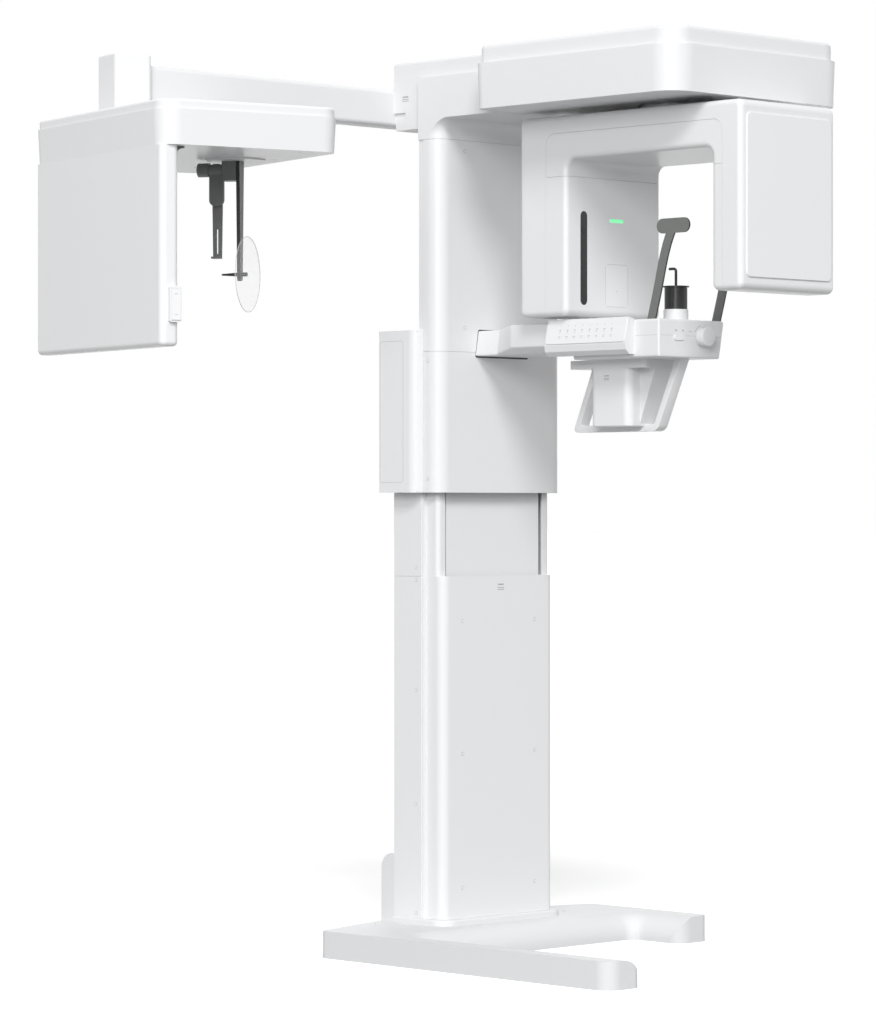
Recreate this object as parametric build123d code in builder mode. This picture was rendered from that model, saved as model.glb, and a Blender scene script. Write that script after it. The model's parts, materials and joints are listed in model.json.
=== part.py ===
# Dental cone-beam scanner: lifting column, turning C-shaped gantry and cephalometric arm.
# Millimetres. The origin is on the floor under the fixed column, +Z is up and the patient stands at -Y.
import math
import os

from build123d import *

os.makedirs("parts", exist_ok=True)

# Fits that many pieces share
running_gap = 0.3
pin_gap = 0.06
seam_gap = 0.6
overrun = 40.0

# Floor base: a plate with two legs, rounded over along its inner sides
base_left = 509.0
base_right = 504.0
base_back = 111.0
base_back_half = 232.0
base_shoulder = 35.0
base_height = 70.0
left_leg_reach = 974.0
left_leg_width = 118.0
right_leg_reach = 395.0
right_leg_width = 116.0
bar_front = -228.0
inner_round = 64.0
inside_corner = 30.0
heel_corner = 22.0
tip_near_corner = 40.0
tip_far_corner = 26.0
anchor_spacing_x = 600.0
anchor_spacing_y = 110.0
anchor_hole_radius = 7.0

# Column foot and the folded bracket behind it
foot_half = 228.0
foot_front = -130.0
foot_height = 16.0
foot_corner = 45.0
foot_edge = 6.0
bracket_height = 180.0
bracket_depth = 48.0
bracket_sheet = 6.0
bracket_corner = 40.0

# Fixed column, an extruded channel open to the front
column_half = 221.0
column_front = -45.0
column_back = 63.0
column_height = 1314.0
column_wall = 6.0
lip_half = 182.0
lip_front = -88.0
lip_corner = 12.0
side_cover_sheet = 2.0
side_cover_margin = 4.0
side_cover_corner = 3.0

# Lower front cover
front_cover_half = 208.0
front_cover_front = -106.0
front_cover_height = 892.0
front_cover_wall = 3.0
front_cover_corner = 24.0

# Lift: rails, blocks, motor, tube and rod
lift_travel = 700.0
rail_x = 110.0
rail_width = 24.0
rail_depth = 18.0
rail_end = 20.0
block_width = 60.0
block_length = 80.0
block_back = 3.0
block_spread = 400.0
block_end = 20.0
motor_radius = 40.0
motor_height = 64.0
tube_radius = 24.0
tube_bore = 17.0
tube_floor = 20.0
tube_height = 800.0
rod_grip = 50.0
rod_length = 790.0
rod_plate_width = 100.0
rod_plate = 10.0

# Mast, the extruded box that slides in the channel
mast_half = 173.0
mast_front = -82.0
mast_back = 15.0
mast_wall = 6.0
mast_tail = 118.0

# Carriage frame and its two front pans
pan_gap = 218.0
pan_half = 234.0
pan_front = -116.0
pan_back = -60.0
pan_wall = 3.5
pan_corner = 38.0
lower_pan_height = 367.0
upper_pan_height = 551.0
frame_sheet = 2.5
frame_back = -40.0
rib_inner = 60.0
rib_outer = 120.0
rib_height = 424.0

# Side box on the left of the carriage, with its door
side_box_width = 31.0
side_box_back = 78.0
side_box_height = 422.0
side_box_corner = 28.0
side_box_wall = 3.0
door_front = -12.0
door_back = 74.0
door_margin = 27.0
door_sheet = 3.0
door_corner = 8.0
door_ledge = 9.0
lock_length = 9.0
lock_width = 2.6
lock_depth = 1.0

# Head: neck, its cap, the rear cover and the seat of the cephalometric arm
neck_rise = 53.0
neck_front = -330.0
neck_flare = 42.0
neck_height = 108.0
neck_wall = 5.0
neck_cap_half = 222.0
neck_cap_height = 47.0
neck_cap_edge = 8.0
head_back = 62.0
rear_cover_height = 85.0
rear_cover_wall = 4.0
socket_height = 45.0
socket_left = -216.0
socket_right = 100.0
socket_inner = -174.0
socket_front = -44.0
socket_step = 19.0

# Top shell, its cap, the beam inside and the turning drive
shell_half = 325.0
shell_front = -1018.0
shell_height = 115.0
shell_wall = 4.0
shell_flange = 20.0
shell_corner = 70.0
shell_draft_deg = 2.0
cap_inset = 10.0
cap_height = 48.0
cap_edge = 12.0
beam_half = 90.0
beam_height = 70.0
beam_front = -900.0
beam_wall = 6.0
beam_window = 4.0
gantry_axis_y = -732.0
bearing_outer = 125.0
spindle_radius = 90.0
spindle_bore = 40.0
spindle_clear = 8.0

# Gantry: a hollow C whose covers part along a C-shaped line
gantry_gap = 17.0
gantry_half = 178.0
gantry_rear = -354.0
gantry_front = -1104.0
gantry_wall = 4.0
gantry_corner = 18.0
gantry_inner_corner = 25.0
gantry_foot_corner = 18.0
gantry_edge = 14.0
beam_depth = 112.0
source_face = -519.0
source_drop = 508.0
detector_face = -1008.0
detector_drop = 464.0
split_rear = -448.0
split_front = -1044.0
split_drop = 45.0
split_corner = 30.0
split_reach = 155.0
front_plate_half = 159.0
front_plate_low = 31.0
front_plate_high = 32.0
front_plate_sheet = 4.0
front_plate_corner = 14.0
slit_x = -112.0
slit_width = 26.0
slit_low = 29.0
slit_height = 239.0
window_sheet = 3.0
beam_plate_x = 10.0
beam_plate_width = 85.0
beam_plate_height = 109.0
beam_plate_low = 28.0
beam_plate_corner = 6.0
beam_plate_sheet = 1.5
light_x = 9.0
light_low = 248.0
light_length = 52.0
light_width = 9.0
frame_half = 80.0
frame_bar = 34.0
frame_leg = 12.0
frame_clear = 2.0
frame_foot = 30.0
tube_head_half = 110.0
tube_head_depth = 122.0
tube_head_height = 250.0
tube_head_corner = 20.0
collimator_half = 45.0
collimator_height = 90.0
panel_half = 110.0
panel_depth = 36.0
panel_height = 250.0

# Patient support: arm, console, keypad pod, chin rest and temple supports
arm_gap = 14.0
arm_height = 96.0
arm_left = -130.0
arm_right = 116.0
arm_lean = 18.0
arm_root_half = 87.0
arm_root_length = 28.0
arm_flare = 60.0
arm_edge = 6.0
console_back = -500.0
console_split = -780.0
console_front = -792.0
console_edge = 5.0
pod_back = -430.0
pod_front = -710.0
pod_width = 35.0
pod_shoulder = 20.0
pod_chamfer = 3.0
pod_low = 9.0
pod_chin = 20.0
pod_brow = 36.0
pod_crown = 6.0
pod_crest = 2.0
keypad_margin = 3.0
keypad_sheet = 2.4
keypad_corner = 9.0
button_x = -55.0
button_rise = 50.0
button_length = 38.0
button_width = 15.0
button_depth = 8.0
button_proud = 2.5
button_pocket = 9.0
knob_x = 31.0
knob_rise = 54.0
knob_radius = 18.0
knob_proud = 24.0
knob_edge = 3.0
knob_shaft = 5.0
knob_shaft_length = 10.0
chin_setback = 60.0
chin_base_radius = 31.5
chin_base_height = 28.0
chin_cup_radius = 29.0
chin_cup_height = 59.0
chin_flange_radius = 34.0
chin_flange = 3.0
chin_bore = 12.0
bite_rod_radius = 3.5
bite_rod_height = 44.0
bite_rod_reach = 22.0
temple_setback = 42.0
temple_rise = 58.0
temple_x = 121.0
temple_sheet = 5.0
temple_width = 26.0
temple_foot = 12.0
temple_hinge_x = 104.0
temple_barrel = 8.0
temple_pin = 3.0
temple_pin_grip = 6.0
temple_wall = 2.0
slot_inner = 94.0
slot_outer = 126.0
slot_drop = 53.0
slot_back_clear = 16.0
temple_height = 267.0
temple_lean = 83.0
temple_path_shares = ((0.0, 0.0), (0.15, 0.172), (0.36, 0.404), (0.68, 0.775), (1.0, 1.0))
paddle_length = 108.0
paddle_height = 37.0

# Handle under the console
tray_half = 76.0
tray_front = -693.0
tray_back = -430.0
tray_height = 22.0
tray_corner = 14.0
housing_half = 75.0
housing_front = -639.0
housing_back = -503.0
housing_corner = 21.0
housing_edge = 4.0
web_left = -32.0
web_right = 43.0
web_reach = 51.0
web_drop = 140.0
grip_half = 28.0
grip_bar = 17.0
grip_drop = 187.0
grip_front = -671.0
grip_back = -402.0
grip_lean = 69.0
grip_front_lean = 82.0
grip_corner = 16.0

# Cephalometric arm, post and head, turned a little about Z
ceph_yaw_deg = -13.136
ceph_corner_x = -1441.0
ceph_corner_y = -433.0
ceph_width = 476.0
ceph_depth = 695.0
ceph_drop = 154.0
ceph_shell_height = 84.0
ceph_shell_lip = 4.0
ceph_shell_draft_deg = 3.0
ceph_cap_height = 23.0
ceph_cap_edge = 7.0
ceph_corner = 45.0
ceph_wall = 4.0
ceph_arm_depth = 65.0
ceph_arm_height = 97.0
ceph_arm_drop = 34.0
ceph_arm_right = -100.0
ceph_arm_corner = 12.0
ceph_arm_wall = 4.0
post_width = 101.0
post_depth = 107.0
post_u = 201.0
post_v = 594.0
post_rise = 22.0
post_corner = 14.0
post_wall = 5.0
post_edge = 5.0
sensor_depth = 48.0
sensor_margin = 13.0
sensor_height = 470.0
sensor_corner = 15.0
sensor_wall = 3.5
cove_bracket_size = 30.0
cove_bracket_v = 45.0
cove_bracket_length = 90.0
switch_u = 18.0
switch_width = 31.0
switch_depth = 10.0
switch_rise = 56.0
switch_height = 83.0
switch_wall = 4.0
rocker_depth = 9.0
rocker_proud = 2.0
rocker_clear = 1.0

# Ear rod and nose support on the turntable
table_u = 351.0
table_v = 296.0
table_yaw_deg = -61.0
table_radius = 71.5
table_flange = 85.0
table_drop = 4.0
table_flange_height = 6.0
holder_left = -30.0
holder_right = 6.0
holder_half = 18.0
holder_height = 48.0
pivot_drop = 20.0
pivot_radius = 5.0
nose_knob_radius = 17.0
nose_knob_length = 28.0
nose_plate_width = 37.0
nose_plate_drop = 88.0
nose_plate_sheet = 8.0
nose_plate_top = 15.0
nose_arm_top = 18.0
nose_arm_length = 198.0
nose_arm_width = 28.0
nose_arm_tip = 22.0
nose_arm_sheet = 4.0
nose_slot_length = 60.0
nose_slot_width = 4.0
nose_slot_rise = 42.0
nose_foot = 16.0
nose_foot_height = 5.0
ear_sheet = 9.0
ear_top_half = 17.0
ear_tip_half = 8.0
ear_length = 291.0
ear_plug_radius = 5.0
ear_plug_reach = 42.0
ear_stub_reach = 14.0
disc_radius = 92.0
disc_sheet = 3.0

# Levels and planes that follow from the sizes above
column_bottom = base_height + foot_height
column_top = column_bottom + column_height
column_depth = column_back - column_front
column_mid = (column_back + column_front) / 2
front_cover_top = column_bottom + front_cover_height
pan_bottom = front_cover_top + pan_gap
pan_seam = pan_bottom + lower_pan_height
pan_top = pan_seam + upper_pan_height
neck_bottom = pan_top + neck_rise
neck_top = neck_bottom + neck_height
rear_cover_bottom = neck_top - rear_cover_height
mast_bottom = front_cover_top - mast_tail
mast_top = rear_cover_bottom
rib_bottom = pan_top - rib_height
shell_top = neck_bottom + shell_height
cap_top = shell_top + cap_height
gantry_top = neck_bottom - gantry_gap
beam_bottom = gantry_top - beam_depth
source_bottom = gantry_top - source_drop
detector_bottom = gantry_top - detector_drop
split_level = gantry_top - split_reach
arm_top = source_bottom - arm_gap
arm_bottom = arm_top - arm_height
tray_bottom = arm_bottom - tray_height
grip_bottom = arm_bottom - grip_drop
chin_y = console_front + chin_setback
temple_y = console_front + temple_setback
frame_front = pan_front + pan_wall + running_gap
frame_side = pan_half - pan_wall - running_gap
side_box_inner = -frame_side
side_box_front = pan_back + seam_gap
side_box_outer = side_box_inner - side_box_width
ceph_arm_bottom = rear_cover_bottom - ceph_arm_drop
ceph_bottom = ceph_arm_bottom - ceph_drop
ceph_top = ceph_bottom + ceph_shell_height + ceph_cap_height
post_top = ceph_arm_bottom + ceph_arm_height + post_rise
sensor_bottom = ceph_bottom - sensor_height
switch_bottom = sensor_bottom + switch_rise
web_face = column_back - column_wall
mast_mid = (mast_front + mast_back) / 2
rod_bottom = column_bottom + motor_height + tube_height - rod_grip
rod_top = rod_bottom + rod_length


def finish(piece, label):
    piece.part.label = label
    export_step(piece.part, f"parts/{label}.step")


def plate_plan(left, right, low, high, radius):
    # A rectangle with four rounded corners, given by its sides
    with BuildSketch() as plan:
        with Locations(((left + right) / 2, (low + high) / 2)):
            RectangleRounded(right - left, high - low, radius)
    return plan.sketch


def pan_plan(half, front, back, radius):
    # A rectangle whose two front corners are rounded
    with BuildSketch() as plan:
        with Locations((0, (front + back) / 2)):
            Rectangle(2 * half, back - front)
        fillet(plan.vertices().group_by(Axis.Y)[0], radius)
    return plan.sketch


def trough_plan(half, front, back, radius, wall):
    # The wall of a pan that is open at the back
    with BuildSketch() as plan:
        add(pan_plan(half, front, back, radius))
        add(pan_plan(half - wall, front + wall, back + overrun, radius - wall), mode=Mode.SUBTRACT)
    return plan.sketch


def corners_at(plan, level):
    # Corners of a sketch that lie at one Y, from left to right
    return plan.vertices().filter_by_position(Axis.Y, level - running_gap, level + running_gap).sort_by(Axis.X)


def base_plan(tips_rounded):
    # Outline of the base, with its tips and heels sharp or rounded
    with BuildSketch() as plan:
        with BuildLine():
            Polyline(
                (-base_back_half, base_back),
                (base_back_half, base_back),
                (base_right, base_shoulder),
                (base_right, -right_leg_reach),
                (base_right - right_leg_width, -right_leg_reach),
                (base_right - right_leg_width, bar_front),
                (left_leg_width - base_left, bar_front),
                (left_leg_width - base_left, -left_leg_reach),
                (-base_left, -left_leg_reach),
                (-base_left, base_shoulder),
                close=True,
            )
        make_face()
        fillet(corners_at(plan, bar_front), inside_corner)
        if tips_rounded:
            fillet(corners_at(plan, base_shoulder), heel_corner)
            for reach in (left_leg_reach, right_leg_reach):
                fillet(corners_at(plan, -reach)[0], tip_near_corner)
                fillet(corners_at(plan, -reach)[-1], tip_far_corner)
    return plan.sketch


# Floor base, rounded over while its tips are sharp, then trimmed to its rounded outline
with BuildPart() as floor_base:
    with BuildSketch():
        add(base_plan(False))
    extrude(amount=base_height)
    top_edges = floor_base.faces().sort_by(Axis.Z)[-1].edges()
    inner_edges = top_edges.filter_by(lambda edge: -base_left + running_gap < (edge @ 0.5).X)
    inner_edges = inner_edges.filter_by(lambda edge: (edge @ 0.5).X < base_right - running_gap)
    inner_edges = inner_edges.filter_by(lambda edge: (edge @ 0.5).Y < bar_front + inside_corner)
    for reach in (left_leg_reach, right_leg_reach):
        inner_edges = inner_edges.filter_by(lambda edge: abs((edge @ 0.5).Y + reach) > running_gap)
    fillet(inner_edges, inner_round)
    extrude(base_plan(True), amount=base_height, mode=Mode.INTERSECT)
    with Locations((0, 0, base_height)):
        with GridLocations(anchor_spacing_x, anchor_spacing_y, 2, 2):
            Hole(anchor_hole_radius)
finish(floor_base, "floor_base")

# Column foot
with BuildPart() as column_foot:
    with BuildSketch(Plane.XY.offset(base_height)):
        add(pan_plan(foot_half, foot_front, column_back, foot_corner))
    extrude(amount=foot_height)
    fillet(column_foot.faces().sort_by(Axis.Z)[-1].edges().group_by(Axis.Y)[0], foot_edge)
finish(column_foot, "column_foot")

# Rear bracket, one folded sheet with two cheeks
with BuildPart() as rear_bracket:
    with BuildSketch(Plane.XY.offset(base_height)):
        with Locations((0, column_back + bracket_depth / 2)):
            Rectangle(2 * column_half, bracket_depth)
        with Locations((0, column_back + bracket_sheet + bracket_depth / 2)):
            Rectangle(2 * (column_half - bracket_sheet), bracket_depth, mode=Mode.SUBTRACT)
    extrude(amount=bracket_height)
    cheek_tops = rear_bracket.edges().filter_by(Axis.X).group_by(Axis.Z)[-1]
    fillet(cheek_tops.group_by(Axis.Y)[-1], bracket_corner)
finish(rear_bracket, "rear_bracket")

# Fixed column
with BuildPart() as fixed_column:
    with BuildSketch(Plane.XY.offset(column_bottom)):
        with Locations((0, column_mid)):
            Rectangle(2 * column_half, column_depth)
            Rectangle(2 * (column_half - column_wall), column_depth - 2 * column_wall, mode=Mode.SUBTRACT)
        with Locations((0, column_front)):
            Rectangle(2 * lip_half, 3 * column_wall, mode=Mode.SUBTRACT)
    extrude(amount=column_height)
    # Above the front cover the lips step forward, to either side of the mast
    with BuildSketch(Plane.XY.offset(front_cover_top)):
        add(trough_plan(front_cover_half, lip_front, column_front, lip_corner, column_wall))
        with Locations((0, lip_front)):
            Rectangle(2 * lip_half, 3 * column_wall, mode=Mode.SUBTRACT)
    extrude(amount=column_top - front_cover_top)
finish(fixed_column, "fixed_column")

# Side covers of the column, two on each side
side_front = column_front + side_cover_margin
side_back = column_back - side_cover_margin
with BuildPart() as column_side_covers:
    for sign in (-1, 1):
        with BuildSketch(Plane.YZ.offset(sign * column_half)):
            add(plate_plan(side_front, side_back, column_bottom, front_cover_top - seam_gap, side_cover_corner))
            add(plate_plan(side_front, side_back, front_cover_top, column_top - seam_gap, side_cover_corner))
        extrude(amount=sign * side_cover_sheet)
finish(column_side_covers, "column_side_covers")

# Lower front cover, a tall tray that closes the channel
with BuildPart() as lower_front_cover:
    with BuildSketch(Plane.XY.offset(column_bottom)):
        add(pan_plan(front_cover_half, front_cover_front, column_front, front_cover_corner))
    extrude(amount=front_cover_height)
    with BuildSketch(Plane.XY.offset(column_bottom)):
        add(
            pan_plan(
                front_cover_half - front_cover_wall,
                front_cover_front + front_cover_wall,
                column_front + overrun,
                front_cover_corner - front_cover_wall,
            )
        )
    extrude(amount=front_cover_height - front_cover_wall, mode=Mode.SUBTRACT)
    # The mast comes down through the top
    mouth_front = front_cover_front + front_cover_wall
    with BuildSketch(Plane.XY.offset(front_cover_top)):
        with Locations((0, (mouth_front + column_front) / 2)):
            Rectangle(2 * (mast_half + column_wall), column_front - mouth_front)
    extrude(amount=-front_cover_wall, mode=Mode.SUBTRACT)
finish(lower_front_cover, "lower_front_cover")

# Two guide rails on the web of the channel
with BuildPart() as guide_rails:
    with BuildSketch(Plane.XY.offset(column_bottom + rail_end)):
        for sign in (-1, 1):
            with Locations((sign * rail_x, web_face - rail_depth / 2)):
                Rectangle(rail_width, rail_depth)
    extrude(amount=column_height - 2 * rail_end)
finish(guide_rails, "guide_rails")

# Lift motor with its tube, and the rod that pushes the mast
with BuildPart() as lift_actuator:
    with BuildSketch(Plane.XY.offset(column_bottom)):
        with Locations((0, mast_mid)):
            Circle(motor_radius)
    extrude(amount=motor_height)
    with BuildSketch(Plane.XY.offset(column_bottom + motor_height)):
        with Locations((0, mast_mid)):
            Circle(tube_radius)
    extrude(amount=tube_height)
    with BuildSketch(Plane.XY.offset(column_bottom + motor_height + tube_floor)):
        with Locations((0, mast_mid)):
            Circle(tube_bore)
    extrude(amount=tube_height, mode=Mode.SUBTRACT)
finish(lift_actuator, "lift_actuator")

with BuildPart() as lift_rod:
    with BuildSketch(Plane.XY.offset(rod_bottom)):
        with Locations((0, mast_mid)):
            Circle(tube_bore - pin_gap)
    extrude(amount=rod_length - rod_plate)
    with BuildSketch(Plane.XY.offset(rod_top - rod_plate)):
        with Locations((0, mast_mid)):
            Rectangle(rod_plate_width, mast_back - mast_front - 2 * mast_wall)
    extrude(amount=rod_plate)
finish(lift_rod, "lift_rod")

# Mast
with BuildPart() as mast:
    with BuildSketch(Plane.XY.offset(mast_bottom)):
        with Locations((0, mast_mid)):
            Rectangle(2 * mast_half, mast_back - mast_front)
            Rectangle(2 * (mast_half - mast_wall), mast_back - mast_front - 2 * mast_wall, mode=Mode.SUBTRACT)
    extrude(amount=mast_top - mast_bottom)
finish(mast, "mast")

# Four guide blocks on the back of the mast
block_depth = web_face - block_back - mast_back
with BuildPart() as guide_blocks:
    for low in (mast_bottom + block_end, mast_bottom + block_end + block_spread):
        for sign in (-1, 1):
            with BuildSketch(Plane.XY.offset(low)):
                with Locations((sign * rail_x, mast_back + block_depth / 2)):
                    Rectangle(block_width, block_depth)
                with Locations((sign * rail_x, web_face)):
                    Rectangle(rail_width + 2 * running_gap, 2 * (rail_depth + running_gap), mode=Mode.SUBTRACT)
            extrude(amount=block_length)
finish(guide_blocks, "guide_blocks")

# Carriage frame, the folded sheet behind the pans, and the ribs that hold it to the mast
with BuildPart() as carriage_frame:
    with BuildSketch(Plane.XY.offset(pan_bottom + running_gap)):
        add(trough_plan(frame_side, frame_front, frame_back, pan_corner - pan_wall, frame_sheet))
    extrude(amount=pan_top - pan_bottom - 2 * running_gap)
    with BuildSketch(Plane.XY.offset(rib_bottom)):
        for sign in (-1, 1):
            with Locations((sign * (rib_inner + rib_outer) / 2, (mast_front + frame_front) / 2)):
                Rectangle(rib_outer - rib_inner, mast_front - frame_front)
    extrude(amount=pan_top - running_gap - rib_bottom)
finish(carriage_frame, "carriage_frame")

# Front pans of the carriage
pan_levels = {"lower": (pan_bottom, pan_seam - seam_gap), "upper": (pan_seam, pan_top - seam_gap)}
for level, (low, high) in pan_levels.items():
    with BuildPart() as carriage_pan:
        with BuildSketch(Plane.XY.offset(low)):
            add(trough_plan(pan_half, pan_front, pan_back, pan_corner, pan_wall))
        extrude(amount=high - low)
    finish(carriage_pan, f"carriage_pan_{level}")

# Side box, a tray against the carriage frame with a recess for its door
door_low = pan_bottom + door_margin
door_high = pan_bottom + side_box_height - door_margin
with BuildPart() as side_box:
    with BuildSketch(Plane.XY.offset(pan_bottom)) as box_plan:
        with Locations(((side_box_outer + side_box_inner) / 2, (side_box_front + side_box_back) / 2)):
            Rectangle(side_box_width, side_box_back - side_box_front)
        near_corner = box_plan.vertices().group_by(Axis.X)[0].group_by(Axis.Y)[0]
        fillet(near_corner, side_box_corner)
    extrude(amount=side_box_height)
    with BuildSketch(Plane.XY.offset(pan_bottom + side_box_wall)) as hollow_plan:
        with Locations(
            (
                (side_box_outer + side_box_inner + door_sheet) / 2,
                (side_box_front + side_box_back) / 2,
            )
        ):
            Rectangle(
                side_box_width - door_sheet - 2 * side_box_wall, side_box_back - side_box_front - 2 * side_box_wall
            )
        near_corner = hollow_plan.vertices().group_by(Axis.X)[0].group_by(Axis.Y)[0]
        fillet(near_corner, (side_box_corner - side_box_wall) / 2)
    extrude(amount=side_box_height - 2 * side_box_wall, mode=Mode.SUBTRACT)
    with BuildSketch(Plane.YZ.offset(side_box_outer)):
        add(
            plate_plan(
                door_front - running_gap,
                door_back + running_gap,
                door_low - running_gap,
                door_high + running_gap,
                door_corner,
            )
        )
    extrude(amount=door_sheet + running_gap, mode=Mode.SUBTRACT)
    with BuildSketch(Plane.YZ.offset(side_box_outer)):
        add(
            plate_plan(
                door_front + door_ledge,
                door_back - door_ledge,
                door_low + door_ledge,
                door_high - door_ledge,
                door_corner,
            )
        )
    extrude(amount=side_box_width / 2, mode=Mode.SUBTRACT)
finish(side_box, "side_box")

with BuildPart() as side_box_door:
    with BuildSketch(Plane.YZ.offset(side_box_outer)):
        add(plate_plan(door_front, door_back, door_low, door_high, door_corner))
    extrude(amount=door_sheet)
    with BuildSketch(Plane.YZ.offset(side_box_outer)):
        with Locations((door_front + lock_length, (door_low + door_high) / 2)):
            SlotOverall(lock_length, lock_width)
    extrude(amount=lock_depth, mode=Mode.SUBTRACT)
finish(side_box_door, "side_box_door")

# Neck cover, which flares from the pans into the top shell
with BuildPart() as neck_cover:
    with BuildSketch(Plane.XY.offset(pan_top)):
        add(pan_plan(pan_half, pan_front, pan_half, pan_corner))
    extrude(amount=neck_rise + neck_height)
    with BuildSketch(Plane.XY.offset(neck_bottom)):
        Rectangle(4 * pan_half, -4 * neck_front)
    extrude(amount=neck_height)
    under_edges = neck_cover.edges().filter_by_position(Axis.Z, neck_bottom, neck_bottom)
    flare_edges = under_edges.filter_by(lambda edge: abs((edge @ 0.5).X) <= pan_half + running_gap)
    flare_edges = flare_edges.filter_by(lambda edge: (edge @ 0.5).Y > pan_front - running_gap)
    flare_edges = flare_edges.filter_by(lambda edge: (edge @ 0.5).Y < pan_half + running_gap)
    fillet(flare_edges, neck_flare)
    with BuildSketch(Plane.XY.offset(pan_top)):
        with Locations((0, (neck_front + frame_back) / 2)):
            Rectangle(2 * pan_half, frame_back - neck_front)
    extrude(amount=neck_rise + neck_height, mode=Mode.INTERSECT)
    with BuildSketch(Plane.YZ):
        with BuildLine():
            Polyline(
                (frame_back + overrun, pan_top - overrun),
                (pan_front + pan_corner, pan_top - overrun),
                (pan_front + pan_corner, neck_bottom + neck_wall),
                (neck_front - overrun, neck_bottom + neck_wall),
                (neck_front - overrun, neck_top - neck_wall),
                (frame_back + overrun, neck_top - neck_wall),
                close=True,
            )
        make_face()
    extrude(amount=pan_half - neck_wall, both=True, mode=Mode.SUBTRACT)
    # The mast stands in the throat of the neck
    throat_front = pan_front + 2 * neck_wall
    with BuildSketch(Plane.XY.offset(pan_top)):
        with Locations((0, (throat_front + frame_back) / 2)):
            Rectangle(2 * (mast_half + neck_wall), frame_back - throat_front)
    extrude(amount=neck_rise + 2 * neck_wall, mode=Mode.SUBTRACT)
finish(neck_cover, "neck_cover")

# Head cap: a lid along the top of the neck that folds down over the back of the mast
with BuildPart() as head_cap:
    with BuildSketch(Plane.XY.offset(neck_top)):
        with Locations((0, (neck_front + head_back) / 2)):
            Rectangle(2 * neck_cap_half, head_back - neck_front)
    extrude(amount=neck_cap_height)
    fillet(head_cap.faces().sort_by(Axis.Z)[-1].edges().sort_by(Axis.Y)[1:], neck_cap_edge)
    with BuildSketch(Plane.XY.offset(rear_cover_bottom)):
        with Locations((0, (frame_back + head_back) / 2)):
            Rectangle(2 * neck_cap_half, head_back - frame_back)
    extrude(amount=rear_cover_height)
    with BuildSketch(Plane.XY.offset(neck_top)):
        with Locations((0, (neck_front + head_back) / 2 - rear_cover_wall)):
            Rectangle(2 * (neck_cap_half - rear_cover_wall), head_back - neck_front)
    extrude(amount=neck_cap_height - rear_cover_wall, mode=Mode.SUBTRACT)
    with BuildSketch(Plane.XY.offset(rear_cover_bottom + rear_cover_wall)):
        with Locations((0, (frame_back + head_back) / 2 - rear_cover_wall)):
            Rectangle(2 * (neck_cap_half - rear_cover_wall), head_back - frame_back)
    extrude(amount=rear_cover_height, mode=Mode.SUBTRACT)
    with BuildSketch(Plane.XY.offset(rear_cover_bottom)):
        with Locations((0, frame_back)):
            Rectangle(2 * (mast_half + rear_cover_wall), 2 * (mast_back + rear_cover_wall - frame_back))
    extrude(amount=rear_cover_wall, mode=Mode.SUBTRACT)
finish(head_cap, "head_cap")

# Stepped seat under the rear cover, against which the arm is bolted
with BuildPart() as arm_socket:
    with BuildSketch(Plane.XY.offset(rear_cover_bottom - socket_height)):
        with BuildLine():
            Polyline(
                (-neck_cap_half, socket_front),
                (socket_inner, socket_front),
                (socket_inner, socket_step),
                (socket_right, socket_step),
                (socket_right, head_back),
                (socket_left, head_back),
                (socket_left, socket_step),
                (-neck_cap_half, socket_step),
                close=True,
            )
        make_face()
    extrude(amount=socket_height)
finish(arm_socket, "arm_socket")

# Beam that carries the top shell and the turning bearing
with BuildPart() as top_beam:
    with BuildSketch(Plane.XZ.offset(-mast_back)):
        with Locations((0, mast_top + beam_height / 2)):
            Rectangle(2 * beam_half, beam_height)
            Rectangle(2 * (beam_half - beam_wall), beam_height - 2 * beam_wall, mode=Mode.SUBTRACT)
    extrude(amount=mast_back - beam_front)
finish(top_beam, "top_beam")


def shell_plan(inset):
    # Outline of the top shell with large front corners
    with BuildSketch() as plan:
        add(pan_plan(shell_half - inset, shell_front + inset, neck_front - inset, shell_corner - inset))
        fillet(plan.vertices().group_by(Axis.Y)[-1], shell_corner / 2 - inset)
    return plan.sketch


# Top shell, a drafted tub with a round mouth for the spindle
with BuildPart() as top_shell:
    with BuildSketch(Plane.XY.offset(shell_top)):
        add(shell_plan(0))
    extrude(amount=-shell_height, taper=shell_draft_deg)
    with BuildSketch(Plane.XY.offset(shell_top - shell_wall)):
        add(shell_plan(shell_wall))
    extrude(amount=2 * shell_wall - shell_height, taper=shell_draft_deg, mode=Mode.SUBTRACT)
    with BuildSketch(Plane.XY.offset(shell_top - shell_wall)):
        add(shell_plan(shell_wall + shell_flange))
    extrude(amount=shell_wall, mode=Mode.SUBTRACT)
    with BuildSketch(Plane.XY.offset(neck_bottom)):
        with Locations((0, gantry_axis_y)):
            Circle(spindle_radius + spindle_clear)
    extrude(amount=shell_wall, mode=Mode.SUBTRACT)
    with BuildSketch(Plane.XZ.offset(-neck_front - overrun)):
        with Locations((0, mast_top + beam_height / 2)):
            Rectangle(2 * (beam_half + beam_window), beam_height + 2 * beam_window)
    extrude(amount=2 * overrun, mode=Mode.SUBTRACT)
finish(top_shell, "top_shell")

with BuildPart() as top_cap:
    with BuildSketch(Plane.XY.offset(shell_top)):
        add(shell_plan(cap_inset))
    extrude(amount=cap_height)
    fillet(top_cap.faces().sort_by(Axis.Z)[-1].edges(), cap_edge)
    with BuildSketch(Plane.XY.offset(shell_top)):
        add(shell_plan(cap_inset + shell_wall))
    extrude(amount=cap_height - cap_edge, mode=Mode.SUBTRACT)
finish(top_cap, "top_cap")

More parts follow.
